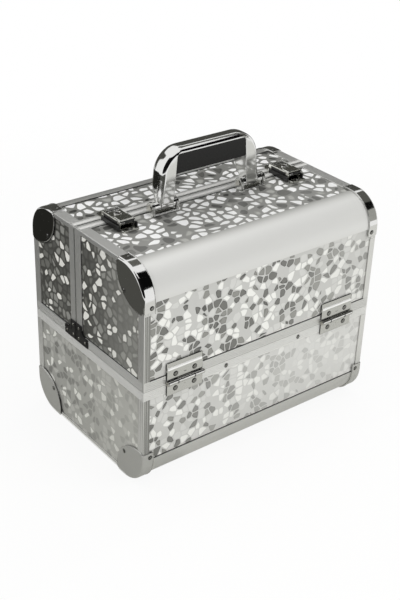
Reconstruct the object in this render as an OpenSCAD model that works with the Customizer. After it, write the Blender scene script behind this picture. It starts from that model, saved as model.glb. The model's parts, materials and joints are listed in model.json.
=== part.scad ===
/* [Case] */
// Length of the case from end to end
case_w = 340; // [310:1:380]
// Depth of the case from front to back
case_d = 225; // [215:1:250]
// Height of the closed lids above the floor
case_h = 278; // [268:1:300]
// Height of the seam between the base and the lids
seam_z = 132.5; // [125:0.5:136]
// Distance of the split between the two lids behind the middle
split_y = 21.5; // [18:0.5:25]
// Outer radius of the long rounded edges
edge_r = 37; // [32:0.5:40]
// Gap left at the seam and at the split
lid_gap = 0.4; // [0.3:0.1:0.8]

/* [Panels and frames] */
// Thickness of the foil-covered boards
panel_t = 4; // [3:0.5:5]
// Thickness of the aluminium strips
strip_t = 1.2; // [0.8:0.1:1.6]
// Height of the channels along the seam and the split
rim_h = 11.5; // [9:0.5:13]
// Width of the upright strips on the end faces
post_w = 10.5; // [8:0.5:14]
// Width of the strips on the end faces along the top and the bottom
brow_w = 5.5; // [4:0.5:8]
// Width of the strips on the front and rear faces
face_strip_w = 8; // [6:0.5:12]
// Width of the strips on the top and bottom faces
top_strip_w = 6; // [5:0.5:10]
// Wall of the hollow rounded edges
edge_wall = 1.4; // [1:0.1:1.8]
// Thickness of the lining
lining_t = 1; // [0.6:0.1:1]
// Clearance between pieces that stay together
fit = 0.05; // [0.03:0.01:0.08]

/* [Corner caps and brackets] */
// Thickness of the corner caps
cap_t = 1.5; // [1.2:0.1:2]
// Width of a corner cap on the long faces
cap_w = 14; // [12:0.5:18]
// Run of a corner cap past its rounded edge
cap_run = 10; // [8:0.5:12]
// Rounding of a corner cap's outer edge
cap_round = 3; // [2:0.1:3.2]
// Radius of the round plate of a corner cap
cap_plate_r = 41; // [39:0.5:44]
// Distance of that plate's centre from the sharp corner
cap_plate_in = 8.5; // [7:0.5:10]
// Distance of a cap's tab rivets past the rounded edge
cap_rivet_run = 4.5; // [4:0.5:6]
// Distance of a cap's tab rivets in from the end face
cap_rivet_in = 9; // [7:0.5:10]
// Radius of a rivet head
rivet_r = 2.3; // [1.8:0.1:2.6]
// Height of a rivet head
rivet_h = 1; // [0.8:0.1:1.4]
// Length of the legs of the black brackets at the foot of the split
bracket_leg = 24; // [18:1:30]
// Thickness of the black brackets
bracket_t = 1.2; // [0.8:0.1:2]
// Distance of the rim rivets from the middle
rim_rivet_x = 55; // [45:1:65]

/* [Hinges] */
// Distance of a hinge's middle in from the end of the case
hinge_in = 55; // [48:1:65]
// Width of a hinge
hinge_w = 49; // [42:1:56]
// Width of a hinge's middle knuckle
mid_knuckle_w = 22; // [18:1:26]
// Thickness of a hinge leaf
leaf_t = 1.6; // [1.2:0.1:2]
// Reach of the upper leaf above the pin
leaf_up = 24.5; // [21:0.5:28]
// Reach of the lower leaf below the pin
leaf_down = 17; // [15:0.5:20]
// Radius of the knuckles
knuckle_r = 2.8; // [2.4:0.1:2.8]
// Radius of the hinge pins
pin_r = 1.5; // [1:0.1:1.6]
// Distance of the pin in front of the face
pin_out = 3; // [3:0.1:3.5]
// Height of the pin above the seam
pin_rise = 2; // [1:0.5:3]
// Running clearance round the pins that turn
run_fit = 0.05; // [0.03:0.01:0.09]
// Distance of a leaf's screws from the hinge's middle
leaf_screw_x = 13; // [11:0.5:15]
// Distance of a leaf's screws above and below the pin
leaf_screw_z = 9.5; // [8:0.5:11]
// Radius of a screw head
screw_r = 2.8; // [2.2:0.1:3.2]

/* [Handle] */
// Distance of a handle foot from the middle
handle_foot_x = 64.5; // [60:0.5:70]
// Distance of the handle's pivot in front of the split
handle_front = 20; // [19:0.5:24]
// Height of the handle's pivot above the lid
handle_pivot_h = 8; // [7.5:0.5:10]
// Width of a handle bracket
yoke_w = 37; // [35:0.5:40]
// Depth of a handle bracket
yoke_d = 13; // [12:0.5:14]
// Thickness of a bracket's ears
ear_t = 4; // [3:0.5:5]
// Radius of the handle's pins
handle_pin_r = 2; // [1.5:0.1:2.5]
// Height of the handle above its pivot
handle_rise = 65.5; // [60:0.5:70]
// Half width of the handle below its bends
handle_half_w = 70; // [68:0.5:72]
// Radius of the handle's bends
handle_bend_r = 32; // [26:0.5:36]
// Thickness of the handle's top bar
handle_bar_t = 6.5; // [5:0.5:8]
// Half length of the grip
grip_half_w = 49; // [46:0.5:51]
// Height of the black grip
grip_h = 20; // [16:0.5:22]
// Depth of the handle in front of its pivot
handle_fore = 6; // [5.6:0.1:6.2]
// Depth of the handle behind its pivot
handle_aft = 17; // [14:0.5:18]

/* [Latches] */
// Distance of a latch's middle in from the end of the case
latch_in = 47; // [42:0.5:52]
// Width of a latch
latch_w = 20.5; // [18:0.5:24]
// Length of a latch in front of the split
latch_len = 43; // [38:0.5:48]
// Thickness of a latch's foot plate
latch_plate_t = 1.5; // [1:0.1:2]
// Height of a latch lever
lever_h = 8.2; // [7.8:0.1:10]
// Wall of a latch lever
lever_wall = 1.3; // [1:0.1:1.6]
// Reach of a lever's nose over the keeper
nose_reach = 2.4; // [1.5:0.1:2.6]
// Length of a keeper behind the split
keeper_len = 16; // [14:0.5:20]
// Radius of a lock barrel
lock_r = 4; // [3:0.1:4.5]

/* [Trays] */
// Wall of a tray
tray_wall = 1.8; // [1.4:0.1:2.4]
// Radius of a tray's bottom corner round its lid pivot
tray_corner_r = 13; // [10:0.5:13]
// Gap between the front upper tray and its lid's top
front_tray_head = 7; // [5:0.5:12]
// Gap between the rear upper tray and its lid's top
rear_tray_head = 15; // [12:0.5:18]
// Gap between the upper trays and the split
tray_split_gap = 3.5; // [2:0.5:6]
// Gap between a tray's end and the lining, which holds the arms
tray_end_gap = 9; // [8.5:0.5:12]
// Distance of the front lower tray's lid pivot in from the hinge pin
front_lower_in = 25; // [24.5:0.5:26]
// Distance of the front upper tray's lid pivot in from the hinge pin
front_upper_in = 60; // [58.5:0.5:62]
// Depth of the front lower tray
front_lower_d = 84; // [70:1:90]
// Height of the front lower tray
front_lower_h = 31; // [24:1:31]
// Height of the front upper tray
front_upper_h = 40; // [30:1:40]
// Distance between the lid pivot and the arm pivot of a front tray
front_arm_step = 45; // [40:1:50]
// Distance of the rear lower tray's lid pivot in from the hinge pin
rear_lower_in = 25; // [24.5:0.5:25]
// Distance of the rear upper tray's lid pivot in from the hinge pin
rear_upper_in = 48.5; // [48:0.5:50]
// Depth of the rear lower tray
rear_lower_d = 56; // [46:1:60]
// Height of the rear lower tray
rear_lower_h = 21; // [18:1:21]
// Height of the rear upper tray
rear_upper_h = 27; // [22:1:32]
// Distance between the lid pivot and the arm pivot of a rear tray
rear_arm_step = 33; // [32:0.5:36]
// Width of an arm
arm_w = 11; // [9:0.5:13]
// Thickness of an arm
arm_t = 2; // [1.5:0.1:2.2]
// Radius of the studs that the trays and arms turn on
stud_r = 2.5; // [2:0.1:2.8]
// Clearance round the studs between the trays and the arms
loose_fit = 0.3; // [0.2:0.05:0.5]
// Thickness of a tray divider
divider_t = 1.5; // [1.2:0.1:2]

/* [Hidden] */
$fn = 64;
over = 1;
far = 600;
half_w = case_w / 2;
half_d = case_d / 2;
panel_in = strip_t + panel_t;
rim_wall = panel_in + strip_t;
lining_in = panel_in + lining_t;
front_depth = half_d + split_y;
rear_depth = half_d - split_y;
base_top = seam_z - lid_gap / 2;
lid_bottom = seam_z + lid_gap / 2;
hinge_z = seam_z + pin_rise;
split_edge = front_depth - lid_gap / 2;
rear_split_edge = rear_depth - lid_gap / 2;
panel_x = half_w - strip_t;
hinge_x = half_w - hinge_in;
latch_x = half_w - latch_in;
lid_top = case_h - strip_t;
knuckle_gap = 0.4;
leaf_flat = 4;
leaf_step = 3;
pin_head = 0.8;
// Heads of rivets and screws, and how a corner cap is cut and riveted
head_edge = 0.3;
slot_w = 0.8;
slot_deep = 0.5;
cap_lap = 7;
cap_plate_rivet_y = 2;
cap_plate_rivet_z = 4;
// Places of the handle, in the front lid's own depth
handle_u = split_edge - handle_front;
handle_z = case_h + handle_pivot_h;
yoke_plate_t = 1.5;
ear_r = yoke_d / 2;
handle_head = 1.4;
foot_r = 5.5;
ear_play = 0.5;
foot_w = yoke_w - 2 * (ear_t + ear_play);
foot_shoulder = 3.5;
leg_half_w = foot_w / 2 - foot_shoulder;
leg_flare = 22;
grip_inset = 1;
grip_round = 6;
bar_round = 5;
// Places of the latches
latch_z = case_h + latch_plate_t;
lever_pivot_up = 3.3;
lever_gap = 0.4;
lever_front_r = lever_pivot_up - lever_gap;
latch_foot = 12;
latch_screw_in = 3.4;
lever_pivot_u = split_edge - latch_len + latch_foot;
lever_lift = 2;
lever_pin_r = 0.8;
cheek_t = 1.4;
cheek_r = lever_front_r - lever_gap;
nose_clear = 3.6;
keeper_lip_h = 1.5;
keeper_lip_w = 3;
keeper_screw_in = 9;
lock_back = 15;
lock_flange = 0.8;
lock_proud = 0.6;
key_w = 1.2;
key_len = 5;
key_deep = 1.2;
// Places of the trays and arms
inner_top = case_h - lining_in;
tray_x = half_w - lining_in - tray_end_gap;
arm_gap = 1;
arm_x = tray_x + arm_gap;
head_t = 1;
head_lip = 1.6;
head_r = stud_r + head_lip;
spacer_lip = 1.5;
spacer_r = stud_r + spacer_lip;
flange_lip = 5;
flange_r = stud_r + flange_lip;
flange_t = 1.5;
bracket_edge = 1;
divider_drop = 4;
front_upper_up = inner_top - front_tray_head - front_upper_h + tray_corner_r - hinge_z;
front_lower_up = front_upper_up * front_lower_in / front_upper_in;
rear_upper_up = inner_top - rear_tray_head - rear_upper_h + tray_corner_r - hinge_z;
rear_lower_up = rear_upper_up * rear_lower_in / rear_upper_in;
front_lower_u = front_lower_in - pin_out;
front_upper_u = front_upper_in - pin_out;
rear_lower_u = rear_lower_in - pin_out;
rear_upper_u = rear_upper_in - pin_out;
front_upper_d = split_edge - tray_split_gap - front_upper_u + tray_corner_r;
rear_upper_d = rear_split_edge - tray_split_gap - rear_upper_u + tray_corner_r;
front_arm_u = front_arm_step - pin_out;
rear_arm_u = rear_arm_step - pin_out;

// Placing helpers: a lid is drawn with its hinge face at depth 0 and its split towards +Y

module as_front() {
  translate([0, -half_d, 0]) children();
}

module as_rear() {
  mirror([0, 1, 0]) as_front() children();
}

module both_ends() {
  children();
  mirror([1, 0, 0]) children();
}

// A 2D shape in depth and height, drawn out along the length between two places
module slab(x0, x1) {
  rotate([90, 0, 90]) translate([0, 0, x0]) linear_extrude(x1 - x0) children();
}

module bar_x(x0, x1, u, z, r) {
  slab(x0, x1) translate([u, z]) circle(r);
}

// Domed head on the XY plane, standing up along Z
module dome(r, h) {
  crown = h - head_edge;
  ball = (r * r + crown * crown) / (2 * crown);
  intersection() {
    translate([0, 0, h - ball]) sphere(ball);
    cylinder(r = r, h = h);
  }
}

module rivet() {
  dome(rivet_r, rivet_h);
}

module screw() {
  difference() {
    dome(screw_r, rivet_h);
    translate([-slot_w / 2, -screw_r, rivet_h - slot_deep]) cube([slot_w, 2 * screw_r, rivet_h]);
  }
}

// Outlines and solids of the base and the lids, a given depth inside the outer surface

// Quarter of a disc that rounds the upper corner on the side of -Y
module corner_disc(r) {
  intersection() {
    circle(r);
    translate([-r, -over]) square(r + over);
  }
}

module lid_outline(depth, inset, bottom, split_in) {
  translate([edge_r, bottom])
    square([depth - lid_gap / 2 - split_in - edge_r, case_h - inset - bottom]);
  translate([inset, bottom]) square([edge_r - inset, case_h - edge_r - bottom]);
  translate([edge_r, case_h - edge_r]) corner_disc(edge_r - inset);
}

module lid_solid(depth, inset, bottom_in, split_in) {
  slab(inset - half_w, half_w - inset)
    lid_outline(depth, inset, lid_bottom + bottom_in, split_in);
}

module base_outline(inset, top) {
  flat = half_d - edge_r;
  translate([-flat, cap_t + inset]) square([2 * flat, top - cap_t - inset]);
  translate([inset - half_d, cap_t + edge_r]) square([case_d - 2 * inset, top - cap_t - edge_r]);
  for (turn = [0, 1]) mirror([turn, 0]) translate([-flat, cap_t + edge_r]) mirror([0, 1])
    corner_disc(edge_r - inset);
}

module base_solid(inset, top) {
  slab(inset - half_w, half_w - inset) base_outline(inset, top);
}

// Hollow quarter-round extrusion about the X axis, from straight up to the hinge side
module round_edge() {
  slab(-panel_x, panel_x) difference() {
    intersection() {
      difference() {
        circle(edge_r);
        circle(edge_r - panel_in);
      }
      translate([-far, 0]) square([far, far]);
    }
    intersection() {
      difference() {
        circle(edge_r - edge_wall);
        circle(edge_r - panel_in + edge_wall);
      }
      translate([-far, edge_wall]) square([far - edge_wall, far]);
    }
  }
}

// Corner cap about the X axis at the right end, over the same quarter turn

module cap_profile() {
  low = edge_r - cap_lap;
  top = edge_r + cap_t;
  near = half_w - cap_w;
  end = half_w + cap_t;
  difference() {
    union() {
      translate([low, near]) square([top - cap_round - low, end - near]);
      translate([low, near]) square([top - low, end - cap_round - near]);
      translate([top - cap_round, end - cap_round]) circle(cap_round);
    }
    translate([low - over, near - over])
      square([edge_r + fit - low + over, half_w + fit - near + over]);
  }
}

module cap_plate() {
  reach = edge_r + cap_t - cap_round;
  intersection() {
    translate([cap_plate_in - edge_r, edge_r - cap_plate_in]) circle(cap_plate_r);
    union() {
      circle(reach);
      translate([0, -far]) square([far, far + reach]);
      translate([-reach, -far]) square([far, far]);
    }
  }
}

module corner_cap() {
  rotate([180, -90, 0]) {
    rotate_extrude(angle = 90) cap_profile();
    rotate([90, 0, 0]) linear_extrude(cap_run) cap_profile();
    rotate([0, 0, 90]) translate([0, cap_run, 0]) rotate([90, 0, 0])
      linear_extrude(cap_run) cap_profile();
  }
  slab(half_w + fit, half_w + cap_t) cap_plate();
}

// Rivets on a cap's end plate and on its tab over the front or rear face
module cap_side_rivets() {
  translate([half_w + cap_t, -cap_plate_rivet_y, cap_plate_rivet_z]) rotate([0, 90, 0]) rivet();
  translate([half_w - cap_rivet_in, -edge_r - cap_t, -cap_rivet_run]) rotate([90, 0, 0]) rivet();
}

// Rivet on a cap's tab over the top, which the floor side does without
module cap_top_rivet() {
  translate([half_w - cap_rivet_in, cap_rivet_run, edge_r + cap_t]) rivet();
}

module lid_corner() {
  both_ends() translate([0, edge_r, case_h - edge_r]) children();
}

module lid_rivets() {
  lid_corner() {
    cap_side_rivets();
    cap_top_rivet();
  }
}

module base_corner() {
  both_ends() for (turn = [0, 1]) mirror([0, turn, 0])
    translate([0, edge_r - half_d, cap_t + edge_r]) mirror([0, 0, 1]) children();
}

// Sub-parts of a lid of a given depth

module lid_face_panel() {
  translate([-panel_x, strip_t, lid_bottom + strip_t])
    cube([2 * panel_x, panel_t, case_h - edge_r - lid_bottom - strip_t]);
}

module lid_top_panel(depth) {
  translate([-panel_x, edge_r, lid_top - panel_t])
    cube([2 * panel_x, depth - lid_gap / 2 - strip_t - edge_r, panel_t]);
}

module lid_end_panel(depth) {
  slab(half_w - panel_in, panel_x)
    lid_outline(depth, panel_in + fit, lid_bottom + strip_t, strip_t);
}

module lid_round_edge() {
  translate([0, edge_r, case_h - edge_r]) round_edge();
}

module lid_rim(depth) {
  difference() {
    intersection() {
      difference() {
        lid_solid(depth, 0, 0, 0);
        lid_solid(depth, rim_wall, -over, -over);
      }
      union() {
        translate([-far, -far, lid_bottom - over]) cube([2 * far, 2 * far, rim_h + over]);
        translate([-far, depth - lid_gap / 2 - rim_h, 0]) cube([2 * far, far, far]);
      }
    }
    difference() {
      lid_solid(depth, strip_t, strip_t, strip_t);
      lid_solid(depth, panel_in, -over, -over);
    }
  }
}

module lid_end_frames(depth) {
  foot = lid_bottom + rim_h;
  run = depth - lid_gap / 2 - rim_h - edge_r;
  both_ends() {
    slab(panel_x, half_w) difference() {
      lid_outline(depth, 0, foot, rim_h);
      intersection() {
        lid_outline(depth, brow_w, foot - over, rim_h - over);
        translate([post_w, 0]) square([far, far]);
      }
    }
    translate([half_w - face_strip_w, 0, foot])
      cube([face_strip_w, strip_t, case_h - edge_r - foot]);
    translate([half_w - top_strip_w, edge_r, lid_top]) cube([top_strip_w, run, strip_t]);
  }
}

module lid_lining(depth) {
  difference() {
    lid_solid(depth, panel_in + fit, rim_h, rim_h);
    lid_solid(depth, lining_in, -over, -over);
  }
}

module lid_split_brackets(depth) {
  edge = depth - lid_gap / 2;
  both_ends() slab(half_w, half_w + bracket_t) {
    translate([edge - bracket_leg, lid_bottom]) square([bracket_leg, rim_h]);
    translate([edge - rim_h, lid_bottom]) square([rim_h, bracket_leg]);
  }
}

module hinge_upper_leaf() {
  low = hinge_z + knuckle_r + knuckle_gap;
  bend = lid_bottom + rim_h + leaf_flat + leaf_step;
  top = hinge_z + leaf_up;
  half = mid_knuckle_w / 2 - knuckle_gap / 2;
  difference() {
    union() {
      slab(-hinge_w / 2, hinge_w / 2) polygon([
        [0, low], [0, bend - leaf_step], [strip_t, bend], [strip_t, top],
        [strip_t - leaf_t, top], [strip_t - leaf_t, bend], [-leaf_t, bend - leaf_step], [-leaf_t, low]
      ]);
      slab(-half, half) translate([-leaf_t, hinge_z]) square([leaf_t, low - hinge_z + over]);
      bar_x(-half, half, -pin_out, hinge_z, knuckle_r);
    }
    bar_x(-hinge_w, hinge_w, -pin_out, hinge_z, pin_r + run_fit);
  }
}

module hinge_lower_leaf() {
  top = hinge_z - knuckle_r - knuckle_gap;
  bottom = hinge_z - leaf_down;
  difference() {
    union() {
      slab(-hinge_w / 2, hinge_w / 2) translate([-leaf_t, bottom]) square([leaf_t, top - bottom]);
      for (side = [0, 1]) mirror([side, 0, 0]) {
        slab(mid_knuckle_w / 2, hinge_w / 2) {
          translate([-pin_out, hinge_z]) circle(knuckle_r);
          translate([-leaf_t, top - over]) square([leaf_t - knuckle_gap / 2, hinge_z - top + over]);
        }
      }
    }
    bar_x(-hinge_w, hinge_w, -pin_out, hinge_z, pin_r + fit);
  }
}

module hinge_pin() {
  end = hinge_w / 2;
  bar_x(-end - head_t, end + head_t, -pin_out, hinge_z, pin_r);
  for (side = [0, 1]) mirror([side, 0, 0])
    bar_x(end + fit, end + head_t, -pin_out, hinge_z, pin_r + pin_head);
}

module hinge_pair() {
  for (side = [-1, 1]) translate([side * hinge_x, 0, 0]) children();
}

module leaf_screws(rise) {
  for (side = [-1, 1]) translate([side * leaf_screw_x, -leaf_t, hinge_z + rise])
    rotate([90, 0, 0]) screw();
}

// Stud on a lid's end wall that a tray hangs on
module tray_pivot(u, rise) {
  wall_x = half_w - lining_in;
  both_ends() {
    bar_x(wall_x - flange_t, wall_x, u, hinge_z + rise, flange_r);
    bar_x(tray_x + fit, wall_x - flange_t, u, hinge_z + rise, spacer_r);
    bar_x(tray_x - tray_wall - head_t, tray_x + fit, u, hinge_z + rise, stud_r);
    bar_x(tray_x - tray_wall - head_t - fit, tray_x - tray_wall - fit, u, hinge_z + rise, head_r);
  }
}

// Tray with its lid pivot at a given depth and rise above the hinge pin
module tray(u, rise, depth, height, arm_step, dividers) {
  translate([0, u, hinge_z + rise]) {
    difference() {
      slab(-tray_x, tray_x) tray_outline(depth, height, 0);
      slab(tray_wall - tray_x, tray_x - tray_wall) tray_outline(depth, height, tray_wall);
      bar_x(-far, far, 0, 0, stud_r + run_fit);
    }
    for (count = [1 : dividers]) {
      place = (2 * count / (dividers + 1) - 1) * tray_x;
      slab(place - divider_t / 2, place + divider_t / 2) intersection() {
        tray_outline(depth, height, tray_wall / 2);
        translate([-far, -far]) square([2 * far, far + height - tray_corner_r - divider_drop]);
      }
    }
    both_ends() {
      bar_x(tray_x - tray_wall / 2, arm_x + arm_t + loose_fit, arm_step, 0, stud_r);
      bar_x(arm_x + arm_t + loose_fit, arm_x + arm_t + loose_fit + head_t, arm_step, 0, head_r);
    }
  }
}

module tray_outline(depth, height, inset) {
  rise = height - tray_corner_r;
  open = inset > 0 ? over : 0;
  mirror([0, 1]) corner_disc(tray_corner_r - inset);
  translate([0, inset - tray_corner_r]) square([depth - tray_corner_r - inset, height - inset + open]);
  translate([inset - tray_corner_r, 0]) square([depth - 2 * inset, rise + open]);
}

// Arms beside the trays, from the base's bracket to both trays
module tray_arms(u, lower_in, lower_up, upper_in, upper_up) {
  lean = atan2(upper_up, upper_in);
  reach = norm([upper_in, upper_up]);
  mid = norm([lower_in, lower_up]);
  both_ends() translate([0, u, hinge_z]) slab(arm_x, arm_x + arm_t) rotate(lean) difference() {
    union() {
      translate([0, -arm_w / 2]) square([reach, arm_w]);
      for (place = [0, reach]) translate([place, 0]) circle(arm_w / 2);
    }
    circle(stud_r + run_fit);
    for (place = [mid, reach]) translate([place, 0]) circle(stud_r + loose_fit);
  }
}

// Bracket on the base's end wall that carries an arm's stud
module arm_bracket(u) {
  plate_x = half_w - rim_wall - lid_gap - flange_t;
  top = arm_w / 2 + bracket_edge;
  both_ends() translate([0, u, 0]) {
    slab(plate_x, plate_x + flange_t) {
      translate([-arm_w, base_top - rim_h]) square([2 * arm_w, rim_h]);
      translate([-top, base_top - rim_h]) square([2 * top, hinge_z - base_top + rim_h]);
      translate([0, hinge_z]) circle(top);
    }
    slab(plate_x + flange_t, half_w - rim_wall)
      translate([-arm_w, base_top - rim_h]) square([2 * arm_w, rim_h]);
    bar_x(arm_x - fit - head_t, plate_x, 0, hinge_z, stud_r);
    bar_x(arm_x + arm_t + fit, plate_x, 0, hinge_z, spacer_r);
    bar_x(arm_x - fit - head_t, arm_x - fit, 0, hinge_z, head_r);
  }
}

// Handle: a front view and a side view of one arch, crossed

module handle_front_view() {
  bend_z = handle_rise - handle_bend_r;
  bend_x = handle_half_w - handle_bend_r;
  foot = handle_foot_x + leg_half_w;
  polygon([[-foot, -foot_r], [foot, -foot_r], [handle_half_w, bend_z], [-handle_half_w, bend_z]]);
  translate([-handle_half_w, bend_z - over]) square([2 * handle_half_w, over]);
  translate([-bend_x, bend_z - over]) square([2 * bend_x, handle_bend_r + over]);
  for (side = [-1, 1]) translate([side * bend_x, bend_z]) circle(handle_bend_r);
}

module handle_window(inset) {
  top = handle_rise - handle_bar_t - inset;
  wide = grip_half_w - inset;
  foot = handle_foot_x - leg_half_w - inset;
  low = -foot_r - over;
  polygon([[-wide, top], [wide, top], [foot, low], [-foot, low]]);
}

module handle_side_view() {
  top = handle_rise;
  circle(foot_r);
  polygon([
    [-handle_fore, 0], [foot_r, 0], [handle_aft, leg_flare], [handle_aft, top - bar_round],
    [-handle_fore, top - bar_round]
  ]);
  translate([bar_round - handle_fore, top - 2 * bar_round])
    square([handle_fore + handle_aft - 2 * bar_round, 2 * bar_round]);
  for (side = [bar_round - handle_fore, handle_aft - bar_round])
    translate([side, top - bar_round]) circle(bar_round);
}

module at_handle() {
  as_front() translate([0, handle_u, handle_z]) children();
}

module from_front() {
  rotate([90, 0, 0]) translate([0, 0, -far / 2]) linear_extrude(far) children();
}

module grip_section() {
  top = handle_rise - handle_bar_t - fit;
  low = top - grip_h;
  fore = grip_inset - handle_fore;
  aft = handle_aft - grip_inset;
  translate([fore, low + grip_round]) square([aft - fore, grip_h - grip_round]);
  translate([fore + grip_round, low]) square([aft - fore - 2 * grip_round, grip_h]);
  for (side = [fore + grip_round, aft - grip_round])
    translate([side, low + grip_round]) circle(grip_round);
}

module handle_yoke() {
  translate([-yoke_w / 2, handle_u - yoke_d / 2, lid_top])
    cube([yoke_w, yoke_d, strip_t + yoke_plate_t]);
  both_ends() difference() {
    slab(yoke_w / 2 - ear_t, yoke_w / 2) {
      translate([handle_u - ear_r, case_h]) square([yoke_d, handle_pivot_h]);
      translate([handle_u, handle_z]) circle(ear_r);
    }
    bar_x(0, yoke_w, handle_u, handle_z, handle_pin_r + fit);
  }
}

module handle_pin() {
  bar_x(-yoke_w / 2 - head_t, yoke_w / 2 + head_t, handle_u, handle_z, handle_pin_r);
  both_ends() bar_x(yoke_w / 2 + fit, yoke_w / 2 + head_t, handle_u, handle_z, handle_pin_r + handle_head);
}

module handle_pair() {
  as_front() for (side = [-1, 1]) translate([side * handle_foot_x, 0, 0]) children();
}

// Latch: a foot plate with two cheeks, a hollow lever and a lock barrel

module latch_pair() {
  as_front() for (side = [-1, 1]) translate([side * latch_x, 0, 0]) children();
}

module latch_base() {
  front = split_edge - latch_len;
  rim_start = split_edge - rim_h;
  cheek_x = latch_w / 2 - lever_wall - lever_gap - cheek_t;
  translate([-latch_w / 2, front, lid_top])
    cube([latch_w, rim_start - front, strip_t + latch_plate_t]);
  translate([-latch_w / 2, rim_start - over, case_h])
    cube([latch_w, rim_h + over, latch_plate_t]);
  both_ends() difference() {
    slab(cheek_x, cheek_x + cheek_t) {
      translate([lever_pivot_u, latch_z + lever_pivot_up]) circle(cheek_r);
      translate([lever_pivot_u - lever_pin_r, latch_z - over])
        square([cheek_r + lever_pin_r, lever_pivot_up + over]);
    }
    bar_x(0, latch_w, lever_pivot_u, latch_z + lever_pivot_up, lever_pin_r + fit);
  }
}

module latch_pin() {
  end = latch_w / 2 - fit;
  bar_x(-end, end, lever_pivot_u, latch_z + lever_pivot_up, lever_pin_r);
}

module lever_side() {
  pivot_z = latch_z + lever_pivot_up;
  low = latch_z + lever_gap;
  top = low + lever_h;
  tip = split_edge + nose_reach;
  front = lever_pivot_u - lever_front_r - lever_wall;
  translate([lever_pivot_u, pivot_z]) circle(lever_front_r);
  polygon([
    [lever_pivot_u, low], [split_edge - lever_wall, low],
    [split_edge - lever_wall, latch_z + nose_clear], [tip, latch_z + nose_clear],
    [tip, top - lever_wall], [tip - lever_wall, top], [front + lever_wall, top],
    [front, top - lever_wall], [front, pivot_z + lever_lift], [front + lever_wall, pivot_z]
  ]);
}

module lever_hollow() {
  low = latch_z + lever_gap;
  top = low + lever_h - lever_wall;
  start = lever_pivot_u - lever_front_r;
  translate([start, low - over]) square([split_edge - 2 * lever_wall - start, top - low + over]);
}

module latch_lever() {
  lock_u = split_edge - lock_back;
  color("silver") difference() {
    slab(-latch_w / 2, latch_w / 2) lever_side();
    slab(lever_wall - latch_w / 2, latch_w / 2 - lever_wall) lever_hollow();
    bar_x(-far, far, lever_pivot_u, latch_z + lever_pivot_up, lever_pin_r + run_fit);
    translate([0, lock_u, 0]) cylinder(r = lock_r + run_fit, h = far);
  }
}

module lock_barrel() {
  under = latch_z + lever_gap + lever_h - lever_wall;
  top = latch_z + lever_gap + lever_h + lock_proud;
  foot = under - fit - lock_flange;
  color("gray") translate([0, split_edge - lock_back, 0]) difference() {
    translate([0, 0, foot]) {
      cylinder(r = lock_r + lock_flange, h = lock_flange);
      cylinder(r = lock_r, h = top - foot);
    }
    translate([-key_w / 2, -key_len / 2, top - key_deep]) cube([key_w, key_len, far]);
  }
}

module latch_keeper() {
  front = rear_split_edge - lid_gap;
  back = rear_split_edge - keeper_len;
  rim_back = rear_split_edge - rim_h;
  round_r = latch_w / 2;
  intersection() {
    translate([0, back + round_r, lid_top]) {
      translate([-round_r, 0, 0]) cube([latch_w, keeper_len, strip_t + latch_plate_t]);
      cylinder(r = round_r, h = strip_t + latch_plate_t);
    }
    union() {
      translate([-far, front - far, case_h]) cube([2 * far, far, far]);
      translate([-far, rim_back - far, 0]) cube([2 * far, far, far]);
    }
  }
  translate([-round_r, front - keeper_lip_w, latch_z])
    cube([latch_w, keeper_lip_w, keeper_lip_h]);
}

// Sub-parts of the base

module base_front_panel() {
  color("gainsboro") as_front() translate([-panel_x, strip_t, cap_t + edge_r])
    cube([2 * panel_x, panel_t, base_top - strip_t - cap_t - edge_r]);
}

module base_rear_panel() {
  mirror([0, 1, 0]) base_front_panel();
}

module base_right_panel() {
  color("gainsboro") slab(half_w - panel_in, panel_x) base_outline(panel_in + fit, base_top - strip_t);
}

module base_left_panel() {
  mirror([1, 0, 0]) base_right_panel();
}

module base_bottom_panel() {
  flat = half_d - edge_r;
  color("dimgray") translate([-panel_x, -flat, cap_t + strip_t]) cube([2 * panel_x, 2 * flat, panel_t]);
}

module base_front_edge() {
  color("silver") translate([0, edge_r - half_d, cap_t + edge_r]) mirror([0, 0, 1]) round_edge();
}

module base_rear_edge() {
  mirror([0, 1, 0]) base_front_edge();
}

module base_rim() {
  color("silver") difference() {
    intersection() {
      difference() {
        base_solid(0, base_top);
        base_solid(rim_wall, base_top + over);
      }
      translate([-far, -far, base_top - rim_h]) cube([2 * far, 2 * far, rim_h + over]);
    }
    difference() {
      base_solid(strip_t, base_top - strip_t);
      base_solid(panel_in, base_top + over);
    }
  }
}

module base_end_frames() {
  top = base_top - rim_h;
  flat = half_d - edge_r;
  color("silver") both_ends() {
    slab(panel_x, half_w) difference() {
      base_outline(0, top);
      intersection() {
        base_outline(brow_w, top + over);
        translate([post_w - half_d, 0]) square([case_d - 2 * post_w, far]);
      }
    }
    for (turn = [0, 1]) mirror([0, turn, 0])
      translate([half_w - face_strip_w, -half_d, cap_t + edge_r])
        cube([face_strip_w, strip_t, top - cap_t - edge_r]);
    translate([half_w - top_strip_w, -flat, cap_t]) cube([top_strip_w, 2 * flat, strip_t]);
  }
}

module base_corner_caps() {
  color("lightgray") base_corner() corner_cap();
}

module base_fasteners() {
  rim_rivet_z = base_top - rim_h / 2;
  color("lightgray") {
    base_corner() cap_side_rivets();
    for (turn = [0, 1]) mirror([0, turn, 0]) as_front() {
      hinge_pair() leaf_screws(-leaf_screw_z);
      for (side = [-1, 1]) translate([side * rim_rivet_x, 0, rim_rivet_z]) rotate([90, 0, 0]) rivet();
    }
  }
}

module base_lining() {
  color("black") difference() {
    base_solid(panel_in + fit, base_top - rim_h);
    base_solid(lining_in, base_top);
  }
}

module hinge_lower_leaves() {
  color("lightgray") for (turn = [0, 1]) mirror([0, turn, 0])
    as_front() hinge_pair() hinge_lower_leaf();
}

module hinge_pins() {
  color("gray") for (turn = [0, 1]) mirror([0, turn, 0]) as_front() hinge_pair() hinge_pin();
}

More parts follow.
